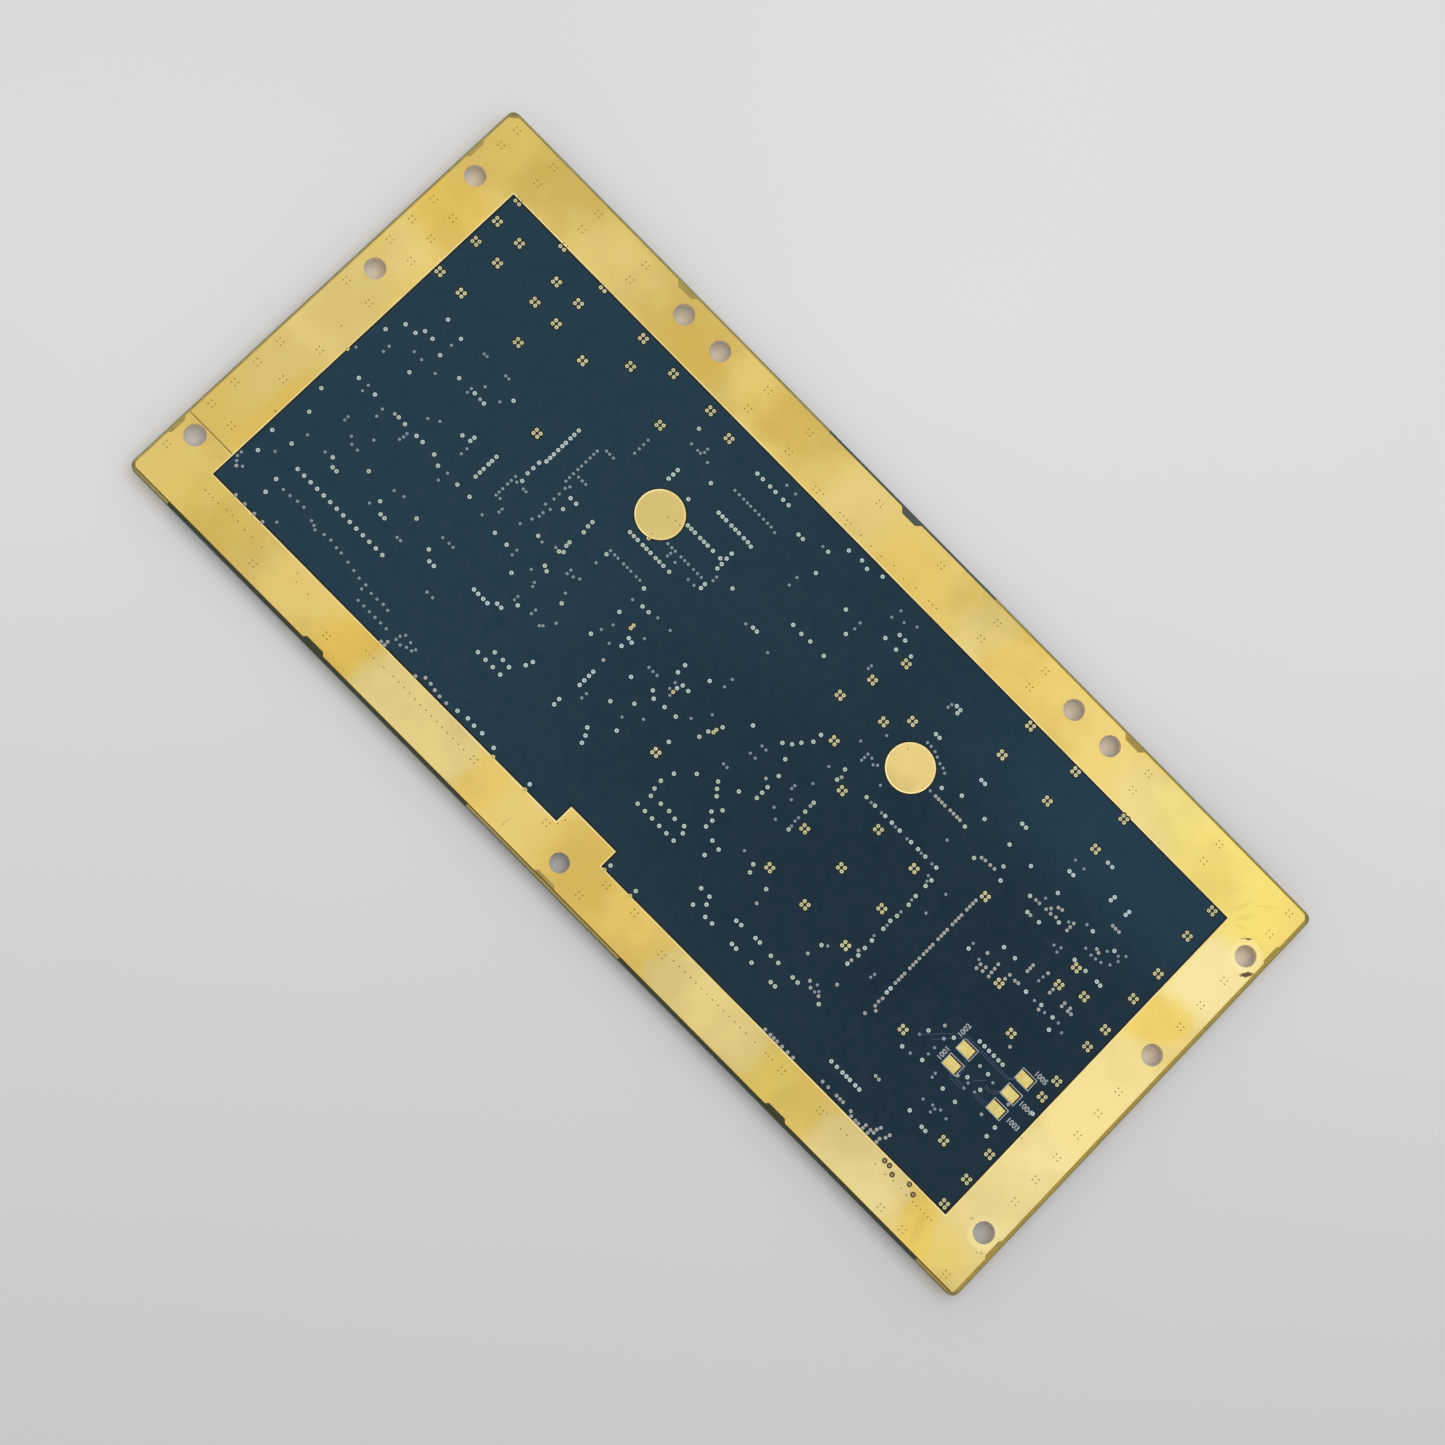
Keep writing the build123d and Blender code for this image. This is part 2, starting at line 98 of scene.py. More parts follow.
def addFade(tree, value, start, end, low=0.0, high=1.0):
    # a smooth step from low at start to high at end
    fade = tree.nodes.new("ShaderNodeMapRange")
    fade.interpolation_type = "SMOOTHSTEP"
    setInputs(tree, fade, {
        "Value": value, "From Min": start, "From Max": end, "To Min": low, "To Max": high})
    return fade.outputs["Result"]


def addMath(tree, operation, first, second=0.0):
    node = tree.nodes.new("ShaderNodeMath")
    node.operation = operation
    setInputs(tree, node, {0: first, 1: second})
    return node.outputs[0]


def addProduct(tree, first, second):
    return addMath(tree, "MULTIPLY", first, second)


def addVector(tree, operation, first, second=(0, 0, 0), third=(0, 0, 0)):
    node = tree.nodes.new("ShaderNodeVectorMath")
    node.operation = operation
    setInputs(tree, node, {0: first, 1: second, 2: third})
    return node.outputs["Value" if operation == "LENGTH" else "Vector"]


def toLinear(value):
    value = value / 255.0
    return value / 12.92 if value <= 0.04045 else ((value + 0.055) / 1.055) ** 2.4


def addMix(tree, factor, first, second):
    # a colour is the output of another node, or sRGB from 0 to 255
    tones = [(*map(toLinear, tone), 1.0) if isinstance(tone, tuple) else tone
             for tone in (first, second)]
    mix = tree.nodes.new("ShaderNodeMix")
    mix.data_type = "RGBA"
    setInputs(tree, mix, {0: factor, 6: tones[0], 7: tones[1]})
    return mix.outputs[2]


def addBump(tree, shader, height, distance, strength):
    bump = addNode(tree, "ShaderNodeBump", {
        "Height": height, "Distance": distance, "Strength": strength})
    setInputs(tree, shader, {"Normal": bump.outputs["Normal"]})


def addRoughness(tree, shader, where, scale, middle, reach):
    rough = addNoise(tree, where, scale)
    setInputs(tree, shader, {"Roughness": addFade(tree, rough, 0.3, 0.7, middle - reach, middle + reach)})


def addWander(tree, where, scale, reach):
    # shifts the place by a noise, so that an edge drawn with it wanders
    warp = addNode(tree, "ShaderNodeTexNoise", {"Vector": where, "Scale": scale, "Detail": 3.0})
    shifted = addVector(tree, "SUBTRACT", where, (reach / 2,) * 3)
    return addVector(tree, "MULTIPLY_ADD", warp.outputs["Color"], (reach,) * 3, shifted)


def addSmudge(tree, where, centre, size, turn, soft):
    # one soft-edged oval on the board face, 1 inside and 0 outside
    oval = tree.nodes.new("ShaderNodeMapping")
    oval.vector_type = "TEXTURE"
    setInputs(tree, oval, {
        "Vector": where, "Location": onBoard(*centre), "Rotation": (0, 0, math.radians(turn)),
        "Scale": (mm(size[0]), mm(size[1]), 1.0)})
    return addFade(tree, addVector(tree, "LENGTH", oval.outputs["Vector"]), 1.0 + soft, 1.0 - soft)


def addStains(tree, colour, where, stains, tone):
    # centres and half lengths are in millimetres, turns in degrees
    for centre, size, turn, soft, strength in stains:
        stain = addProduct(tree, addSmudge(tree, where, centre, size, turn, soft), strength)
        colour = addMix(tree, stain, colour, tone)
    return colour


def discsAt(places, radius, soft):
    return [(place, (radius, radius), 0, soft, 1.0) for place in places]


roundPads = {"places": [(76.7, 66.15), (145.3, 66.15)], "radius": 5.0, "rim": 0.3, "segments": 72}

goldLook = {
    # the brighter tones towards the right end are a painted reflection of the lamp
    "middle": (208, 181, 98), "deep": (207, 174, 74), "deepWithSheen": (214, 184, 82),
    "pale": (207, 187, 118), "paintedSheen": (216, 201, 138), "worn": (228, 214, 160),
    "burnt": (82, 60, 28), "lemon": (222, 202, 98), "scratch": (186, 160, 70),
    "shade": (60, 50, 20), "roundPad": (200, 177, 106),
    "padReach": 1.0,       # how far the round pads' tone goes past them
    "metallic": 0.55,
    "roughness": 0.42,
    "wander": 0.0045,      # how far the stains' edges wander, in metres
    "wanderScale": 130.0,
    "ragged": 0.0007,      # how ragged the burnt marks are, in metres
    "raggedScale": 1500.0,
    "cloudScale": 45.0,
    "calm": 0.55,          # how much of the clouds' depth is taken back
    "wispScale": 260.0,
    "wispShare": 0.3,
    "sheenStart": 40,      # painted reflection: the plating is painted brighter from here to the right end
    "sheenEnd": 108,
    "sheenShare": 0.35,
    "lowShade": (-30, -42, 0.12),      # from and to across the board, and how much
    "highShade": (30, 42, 0.11),
    "highShadeEnds": (10, 50),         # from and to along the board
    "grainScale": 900.0,
    "grainHeight": 0.00001,
}

# stains on the plating: centre, half lengths, turn, softness, strength
paleStains = [
    ((30, 5), (4.5, 4.5), 20, 0.5, 0.2), ((40, 3), (3.5, 3), 0, 0.6, 0.15),
    ((71.5, 5), (15.5, 9), 4, 0.12, 0.95), ((101.5, 5), (6, 8), 10, 0.5, 0.15),
    ((150.5, 5), (14, 9), 0, 0.15, 0.9), ((190.5, 4.5), (11, 9), 12, 0.2, 0.8),
    ((5.5, 44), (8, 20), 0, 0.35, 0.55), ((6, 68), (5, 6), 0, 0.6, 0.4),
    ((36, 96), (10, 6), 0, 0.6, 0.3), ((103, 96), (8, 7), 10, 0.5, 0.5),
    ((137, 96), (5, 7), -15, 0.35, 0.6), ((187, 96), (13, 7), 5, 0.35, 0.6),
    ((216, 22), (9, 12), 0, 0.5, 0.7), ((216, 44), (10, 17), 0, 0.3, 0.55),
    ((216, 79), (9, 9), 20, 0.3, 0.95),
]
deepStains = [
    ((17, 4), (11, 8), 0, 0.5, 0.3), ((53, 5), (5, 8), -12, 0.4, 1.0),
    ((90, 6), (4, 8), 15, 0.4, 0.4), ((120, 6), (14, 8), -10, 0.5, 0.5),
    ((171.5, 3), (8.5, 9), -18, 0.25, 0.45), ((207.5, 4), (3.2, 9), 32, 0.35, 0.9),
    ((214, 3), (6, 6), 0, 0.5, 0.45), ((12, 27), (2.2, 10), 0, 0.6, 0.7),
    ((6, 79), (7, 7), 20, 0.4, 0.8), ((6, 96), (10, 8), 0, 0.6, 0.4),
    ((58, 95), (7, 6), -20, 0.5, 0.6), ((80, 97), (7, 5), 10, 0.5, 0.4),
    ((118, 94), (9, 5), -8, 0.5, 0.4), ((148, 95), (8, 6), 20, 0.5, 0.4),
    ((213, 66), (7, 5), 40, 0.3, 0.8), ((217, 97), (8, 6), -20, 0.5, 0.6),
    ((214, 92), (4, 3), 30, 0.5, 0.5),
]
lemonStains = [
    ((206, 96), (14, 9), 0, 0.35, 0.7), ((215, 91), (6, 4), 0, 0.5, 0.3),
    ((190, 98), (8, 6), 0, 0.5, 0.3), ((168, 4), (5, 6), 0, 0.5, 0.3),
]
wornRings = [((217.4, 87.3), (3.3, 3.3), 0, 0.2, 0.35), ((217.4, 12.9), (3.2, 3.2), 0, 0.2, 0.35)]
burnMarks = [
    ((219.85, 84.75), (0.42, 1.35), -40, 0.3, 1.0), ((215.6, 90.1), (0.55, 0.2), 38, 0.4, 1.0),
    ((214.8, 89.5), (0.75, 0.12), 40, 0.6, 0.7), ((217.9, 90.75), (1.0, 0.1), -20, 0.7, 0.3),
    ((213.8, 13.3), (0.25, 0.2), 0, 0.6, 0.5), ((219.7, 9.85), (0.28, 0.18), 0, 0.6, 0.5),
    ((218.9, 9.35), (0.3, 0.14), 10, 0.6, 0.4), ((11.75, 27.1), (0.25, 0.3), 0, 0.6, 0.5),
    ((189.9, 90.8), (0.15, 0.35), 0, 0.6, 0.35), ((98.1, 3.3), (0.14, 1.3), -6, 0.7, 0.3),
]
# olive scratches and scuffs by the upper right corner and along the lower border
scuffs = [
    ((213.9, 97.3), (1.6, 0.12), 38, 0.7, 0.35), ((212.6, 96.3), (1.3, 0.1), 30, 0.7, 0.25),
    ((210.2, 94.0), (1.6, 0.35), 70, 0.8, 0.25), ((211.9, 92.4), (1.8, 0.5), 55, 0.8, 0.3),
    ((212.6, 90.6), (1.0, 0.4), 20, 0.8, 0.25), ((207.4, 95.8), (2.2, 0.3), 60, 0.8, 0.12),
    ((207.6, 5.0), (1.0, 3.4), 20, 0.6, 0.3), ((172.0, 4.0), (1.6, 3.2), -18, 0.6, 0.3),
]


def makePlatedGold():
    look = goldLook
    material, tree, shader, where = startMaterial("platedGold")
    place = splitPlace(tree, where)
    stained = addWander(tree, where, look["wanderScale"], look["wander"])
    ragged = addWander(tree, where, look["raggedScale"], look["ragged"])

    cloud = addFade(tree, addNoise(tree, where, look["cloudScale"], 4.0), 0.35, 0.65)
    colour = addMix(tree, cloud, look["middle"], look["deep"])
    colour = addMix(tree, look["calm"], colour, look["middle"])
    wisps = addNoise(tree, where, look["wispScale"], 5.0)
    colour = addMix(tree, addFade(tree, wisps, 0.5, 0.75, 0.0, look["wispShare"]), colour, look["pale"])
    # painted reflection: the plating and its pale and deep stains are painted brighter towards the right
    # end
    sheenToRight = addFade(tree, place["X"], mm(look["sheenStart"]), mm(look["sheenEnd"]))
    colour = addMix(tree, addProduct(tree, sheenToRight, look["sheenShare"]), colour, look["paintedSheen"])

    paleTone = addMix(tree, sheenToRight, look["pale"], look["paintedSheen"])
    deepTone = addMix(tree, sheenToRight, look["deep"], look["deepWithSheen"])
    colour = addStains(tree, colour, stained, paleStains, paleTone)
    colour = addStains(tree, colour, stained, deepStains, deepTone)
    colour = addStains(tree, colour, stained, lemonStains, look["lemon"])
    colour = addStains(tree, colour, ragged, scuffs, look["scratch"])
    pads = discsAt(roundPads["places"], roundPads["radius"] + look["padReach"], 0.1)
    colour = addStains(tree, colour, where, pads, look["roundPad"])

    # painted shade: the lower long border is darkened a little, and the upper one towards its left end
    start, end, share = look["lowShade"]
    low = addFade(tree, place["Y"], mm(start), mm(end), 0.0, share)
    colour = addMix(tree, low, colour, look["shade"])
    start, end, share = look["highShade"]
    left, right = look["highShadeEnds"]
    high = addProduct(tree, addFade(tree, place["Y"], mm(start), mm(end)),
                      addFade(tree, place["X"], mm(left), mm(right), share, 0.0))
    colour = addMix(tree, high, colour, look["shade"])
    colour = addStains(tree, colour, where, wornRings, look["worn"])
    colour = addStains(tree, colour, ragged, burnMarks, look["burnt"])

    rough = addFade(tree, cloud, 0.0, 1.0, look["roughness"] - 0.05, look["roughness"] + 0.07)
    setInputs(tree, shader, {"Base Color": colour, "Metallic": look["metallic"], "Roughness": rough})
    addBump(tree, shader, addNoise(tree, where, look["grainScale"], 3.0), look["grainHeight"], 0.35)
    return material


# the brown line just outside the copper along the lower long edge, between its chamfers
lowLine = {"edge": 0.75, "width": 0.3, "clear": 0.18, "soft": 0.02, "end": 109.6, "endSoft": 0.7}


def addLowLine(tree, place):
    line = lowLine
    edge = mm(line["edge"] - boardMiddle["y"])
    inner = addFade(tree, place["Y"], edge + mm(line["soft"]), edge - mm(line["soft"]))
    outer = addFade(tree, place["Y"], edge - mm(line["width"]), edge - mm(line["clear"]))
    between = addFade(tree, addMath(tree, "ABSOLUTE", place["X"]), mm(line["end"]),
                      mm(line["end"] - line["endSoft"]))
    return addProduct(tree, addProduct(tree, inner, outer), between)


maskLook = {
    # painted reflection and shade: the mask is painted lighter at the left end and in the pale patch at
    # the upper right, darker towards the right end and in the dark patch at the lower right
    "left": (30, 59, 75),
    "right": (19, 45, 60),
    "lowStrip": (58, 66, 52),       # mask on bare laminate, along the edges
    "highStrip": (82, 92, 84),
    "stripFrom": 45.0,              # from the middle
    "dark": (8, 38, 53),
    "darkPatch": ((150, 40), (48, 20), 0, 0.7, 0.55),
    "pale": (28, 60, 78),
    "palePatch": ((188, 84), (36, 12), 0, 0.7, 0.9),
    "flow": (40, 66, 80),
    "flowScale": 60.0,
    "flowShare": 0.12,
    "brownLine": (74, 58, 26),
    "roughness": 0.5,
    "roughScale": 400.0,
    "grainScale": 1400.0,
    "grainHeight": 0.000006,
    "specular": 0.1,
}


def makeSolderMask():
    look = maskLook
    material, tree, shader, where = startMaterial("solderMask")
    place = splitPlace(tree, where)
    # painted reflection and shade across the mask, as the overhead light falls
    colour = addMix(tree, addFade(tree, place["X"], mm(-100), mm(90)), look["left"], look["right"])
    for tone in ("dark", "pale"):
        colour = addStains(tree, colour, where, [look[tone + "Patch"]], look[tone])
    flow = addNoise(tree, where, look["flowScale"], 3.0)
    colour = addMix(tree, addFade(tree, flow, 0.3, 0.7, 0.0, look["flowShare"]), colour, look["flow"])

    strip = addMix(tree, addFade(tree, place["Y"], -0.01, 0.01), look["lowStrip"], look["highStrip"])
    strip = addMix(tree, addLowLine(tree, place), strip, look["brownLine"])
    outside = addFade(tree, addMath(tree, "ABSOLUTE", place["Y"]),
                      mm(look["stripFrom"] - 0.1), mm(look["stripFrom"] + 0.1))
    colour = addMix(tree, outside, colour, strip)
    setInputs(tree, shader, {"Base Color": colour, "Specular IOR Level": look["specular"]})
    addRoughness(tree, shader, where, look["roughScale"], look["roughness"], 0.06)
    addBump(tree, shader, addNoise(tree, where, look["grainScale"]), look["grainHeight"], 0.4)
    return material


laminateLook = {
    "face": (180, 160, 88),
    "faceRight": (174, 150, 60),
    "weave": (142, 124, 58),
    "weaveScale": 700.0,
    "weaveShare": 0.4,
    "weaveHeight": 0.00002,
    "rim": (104, 102, 66),
    "rimWidth": 0.22,
    "corner": (122, 118, 66),
    "cornerRadius": 1.5,
    "cornerReach": 1.6,
    "brownLine": (84, 60, 20),       # along the copper's low edge
    "side": (62, 76, 58),
    "sideLight": (104, 104, 66),
    "plyScale": 30.0,
    "plyStretch": 90,
    # the hole walls are painted nearly white as painted light, lighter than the laminate
    "paintedLightWall": (250, 230, 204),
    "wallReach": 2.4,
    "underMask": (24, 46, 62),
    "underGold": (222, 194, 104),
    "slit": (6.5, 15.5),      # the slit that splits the gold by the lower left hole
    "slitReach": (5.5, 0.3),
    "slitShadow": (108, 82, 30),
    "goldSide": 9.5,      # gold strips at the short ends of the component side
    "goldRing": 3.9,      # gold round the other screw holes there
    "roughness": 0.55,
    "specular": 0.3,
}
screwHoles = {
    "side": [(4.7, 13.0), (4.7, 60.3), (4.7, 87.2), (217.3, 13.0), (217.3, 60.3), (217.3, 87.2)],
    "edge": [(52.05, 97.4), (62.0, 97.4), (160.0, 97.4), (169.95, 97.4), (110.75, 5.1)],
}


def addOutlineDistance(tree, where, radius):
    # distance outwards from the board's rounded outline, below 0 inside it
    half = (mm(boardSize["length"] / 2 - radius), mm(boardSize["width"] / 2 - radius), 0)
    flat = addVector(tree, "MULTIPLY", where, (1, 1, 0))
    past = addVector(tree, "SUBTRACT", addVector(tree, "ABSOLUTE", flat), half)
    reach = addVector(tree, "LENGTH", addVector(tree, "MAXIMUM", past))
    return addMath(tree, "SUBTRACT", reach, mm(radius))


def makeLaminate():
    look = laminateLook
    material, tree, shader, where = startMaterial("laminate")
    place = splitPlace(tree, where)
    weave = addNoise(tree, where, look["weaveScale"], 3.0, (1, 1, 4))
    face = addMix(tree, addFade(tree, place["X"], mm(-100), mm(100)), look["face"], look["faceRight"])
    face = addMix(tree, addFade(tree, weave, 0.3, 0.7, 0.0, look["weaveShare"]), face, look["weave"])
    inwards = addOutlineDistance(tree, where, look["cornerRadius"])
    rim = addFade(tree, inwards, mm(-look["rimWidth"]), mm(-look["rimWidth"] * 0.3))
    face = addMix(tree, rim, face, look["rim"])
    corners = [(boardMiddle["x"] + x * boardSize["length"], boardMiddle["y"] + y * boardSize["width"])
               for x in (-0.5, 0.5) for y in (-0.5, 0.5)]
    face = addStains(tree, face, where, discsAt(corners, look["cornerReach"], 0.5), look["corner"])
    face = addMix(tree, addLowLine(tree, place), face, look["brownLine"])

    plies = addNoise(tree, where, look["plyScale"], 2.0, (1, 1, look["plyStretch"]))
    side = addMix(tree, addFade(tree, plies, 0.4, 0.6), look["side"], look["sideLight"])
    onTop = addFade(tree, place["Z"], mm(level["laminateTop"] - 0.03), mm(level["laminateTop"] - 0.01))
    colour = addMix(tree, onTop, side, face)

    goldFrom = boardSize["length"] / 2 - look["goldSide"]
    ends = addFade(tree, addMath(tree, "ABSOLUTE", place["X"]), mm(goldFrom - 0.02), mm(goldFrom))
    under = addMix(tree, ends, look["underMask"], look["underGold"])
    rings = discsAt(screwHoles["edge"], look["goldRing"], 0.01)
    under = addStains(tree, under, where, rings, look["underGold"])
    onUnderside = addFade(tree, place["Z"], mm(level["underside"] + 0.03), mm(level["underside"] + 0.01))
    colour = addMix(tree, onUnderside, colour, under)

    slit = addSmudge(tree, where, look["slit"], look["slitReach"], 0, 0.01)
    colour = addMix(tree, addProduct(tree, slit, onTop), colour, look["slitShadow"])
    # painted light: the walls of the screw holes are painted nearly white to lift the shade inside them
    walls = discsAt(screwHoles["side"] + screwHoles["edge"], look["wallReach"], 0.02)
    onWall = addFade(tree, place["Z"], mm(level["underside"]), mm(level["underside"] + 0.01))
    colour = addMix(tree, onWall, colour, addStains(tree, colour, where, walls, look["paintedLightWall"]))
    setInputs(tree, shader, {
        "Base Color": colour, "Roughness": look["roughness"], "Specular IOR Level": look["specular"]})
    addBump(tree, shader, weave, look["weaveHeight"], 0.5)
    return material


def makePlain(name, colour, second, roughness, scale,
              metallic=0.0, specular=0.5, grainHeight=0.00001):
    # a mottled finish of two near colours with a fine grain
    material, tree, shader, where = startMaterial(name)
    mottled = addFade(tree, addNoise(tree, where, scale, 3.0), 0.3, 0.7)
    colour = addMix(tree, mottled, colour, second)
    setInputs(tree, shader, {"Base Color": colour, "Metallic": metallic, "Specular IOR Level": specular})
    addRoughness(tree, shader, where, scale * 4, roughness, 0.05)
    addBump(tree, shader, addNoise(tree, where, scale * 6), grainHeight, 0.5)
    return material


print("materials")
platedGold = makePlatedGold()
solderMask = makeSolderMask()
laminate = makeLaminate()
padGold = makePlain("padGold", (200, 186, 116), (192, 174, 98), 0.42, 500, metallic=0.55)
connectorResin = makePlain("connectorResin", (214, 204, 180), (206, 194, 168), 0.5, 600)
lockResin = makePlain("lockResin", (44, 36, 32), (52, 43, 38), 0.45, 600)
packageResin = makePlain("packageResin", (34, 34, 36), (42, 42, 44), 0.6, 1800, grainHeight=0.00002)
tinnedMetal = makePlain("tinnedMetal", (196, 198, 200), (178, 180, 184), 0.32, 900, metallic=1.0)
contactGold = makePlain("contactGold", (226, 190, 108), (216, 178, 94), 0.3, 900, metallic=1.0)
capacitorTan = makePlain("capacitorTan", (176, 140, 98), (164, 128, 88), 0.6, 1500)
mouldedTan = makePlain("mouldedTan", (206, 152, 58), (198, 142, 50), 0.5, 900)
resistorBlack = makePlain("resistorBlack", (24, 24, 27), (32, 32, 35), 0.35, 1500)
paleCeramic = makePlain("paleCeramic", (226, 222, 212), (214, 209, 198), 0.5, 1200)
inductorGrey = makePlain("inductorGrey", (72, 72, 76), (88, 88, 92), 0.75, 2600, grainHeight=0.00003)
solder = makePlain("solder", (188, 190, 192), (160, 162, 166), 0.28, 1500, metallic=1.0)

nodeFinish = {
    "board_laminate": laminate,
    "rear_ground_plane": platedGold,
    "rear_test_pads": padGold,
    "rear_solder_mask": solderMask,
    "power_manager": packageResin,
    "level_shifters": packageResin,
    "reference_buffer": packageResin,
    "rectifier_bodies": packageResin,
    "power_inductor_bodies": inductorGrey,
    "storage_capacitor_bodies": mouldedTan,
    "large_ceramic_capacitors": capacitorTan,
    "small_ceramic_capacitors": capacitorTan,
    "chip_resistors": resistorBlack,
    "resistor_arrays": resistorBlack,
    "input_fuse": paleCeramic,
}
# the other nodes go by the last word of their names
wordFinish = {
    "lock": lockResin, "housing": connectorResin, "contacts": contactGold, "body": packageResin,
}


def finishOf(name):
    if name in nodeFinish:
        return nodeFinish[name]
    return wordFinish.get(name.split("_")[-1], tinnedMetal)


for name, node in nodes.items():
    node.data.materials.clear()
    node.data.materials.append(finishOf(name))


# Small helpers for new pieces
def makeObject(name, bm, materials):
    mesh = bpy.data.meshes.new(name)
    bm.to_mesh(mesh)
    bm.free()
    for material in materials:
        mesh.materials.append(material)
    made = bpy.data.objects.new(name, mesh)
    bpy.context.scene.collection.objects.link(made)
    return made


def finishPiece(name, bm, materials, body="root"):
    piece = makeObject(name, bm, materials)
    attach(piece, body)


def addBlock(bm, low, high):
    seat = Matrix.Translation((low + high) / 2) @ Matrix.Diagonal((*(high - low), 1.0))
    return bmesh.ops.create_cube(bm, size=1.0, matrix=seat)["verts"]


def fourRound(centres, step):
    corners = [(dx, dy) for dx in (-step["x"], step["x"]) for dy in (-step["y"], step["y"])]
    return [(x + dx, y + dy) for x, y in centres for dx, dy in corners]


def stampCones(places, look, height):
    # low cones, with the wider end down
    bm = bmesh.new()
    for x, y in places:
        seat = Matrix.Translation(onBoard(x, y, height + look["over"]))
        bmesh.ops.create_cone(bm, cap_ends=True, segments=look["segments"], radius1=mm(look["skirt"]),
                              radius2=mm(look["ring"]), depth=mm(look["rise"]), matrix=seat)
    return bm


def stampRings(name, places, look, height, materials):
    # flat rings with a sunken middle: the materials are the ring's, the hollow's and the skirt's
    bm = stampCones(places, look, height)
    bm.normal_update()
    # the flat tops look up and have more corners than the cones' sides
    tops = [face for face in bm.faces if face.normal.z > 0.9 and len(face.verts) > 4]
    for face in bm.faces:
        face.material_index = 2 if len(materials) > 2 else 0
    for face in tops:
        face.material_index = 0
    bmesh.ops.inset_individual(bm, faces=tops, thickness=mm(look["ring"] - look["hole"]),
                               use_even_offset=True)
    bmesh.ops.inset_individual(bm, faces=tops, thickness=mm(look["wall"]), depth=-mm(look["sink"]),
                               use_even_offset=True)
    for face in tops:
        face.material_index = 1
    finishPiece(name, bm, materials)


# Plated vias that show through the solder mask
viaShape = {"segments": 12, "rise": 0.02, "over": 0.005, "wall": 0.02, "sink": 0.012}
viaLooks = {
    "open": {**viaShape, "ring": 0.41, "skirt": 0.54, "hole": 0.18},
    "ground": {**viaShape, "ring": 0.38, "skirt": 0.72, "hole": 0.16},
    "filled": {**viaShape, "ring": 0.35, "skirt": 0.45, "hole": 0.15},
    "tented": {**viaShape, "ring": 0.3, "skirt": 0.4, "hole": 0.1},
}
clusterStep = {"x": 0.51, "y": 0.46}

# groups of four ground vias, by their centres
groundGroups = [
    (14.1, 83.95), (20.1, 84.0), (30.45, 83.85), (36.4, 83.95), (14.1, 78.15), (20.0, 78.15),
    (30.45, 78.0), (36.3, 78.0), (13.65, 68.9), (19.45, 68.9), (33.9, 70.05), (49.95, 88.25),
    (58.9, 87.6), (69.05, 87.65), (75.4, 86.4), (52.15, 82.55), (64.3, 78.5), (44.95, 76.55),
    (130.55, 80.0), (128.15, 73.0), (139.25, 72.9), (135.35, 68.75), (125.8, 66.35), (49.05, 60.15),
    (131.2, 59.25), (139.05, 53.5), (149.25, 53.2), (159.4, 52.8), (139.1, 43.1), (149.35, 42.85),
    (160.35, 42.85), (139.6, 33.0), (149.35, 32.8), (160.35, 32.85), (108.7, 33.0), (179.4, 29.35),
    (172.95, 58.85), (186.45, 48.85), (199.65, 19.9), (195.1, 61.75), (200.05, 58.85), (194.95, 57.0),
    (194.8, 43.7), (156.15, 88.9), (168.6, 88.9), (181.75, 89.1), (156.15, 80.85), (168.65, 80.8),
    (181.85, 80.9), (206.5, 88.8), (206.4, 81.75), (207.35, 72.4), (207.2, 65.45), (207.4, 57.25),
    (207.15, 52.45), (207.45, 43.45), (207.5, 39.3), (207.8, 24.3), (207.9, 17.8), (208.05, 11.5),
]
# the lower pairs of three groups that the gold border half covers
groundPairs = [(13.55, 89.4), (14.55, 89.4), (25.9, 89.4), (26.9, 89.4), (37.1, 89.35), (38.1, 89.35)]
groundSingles = [(88.4, 47.2), (88.4, 46.45), (102.8, 43.6), (113.75, 44.4), (113.7, 43.65)]

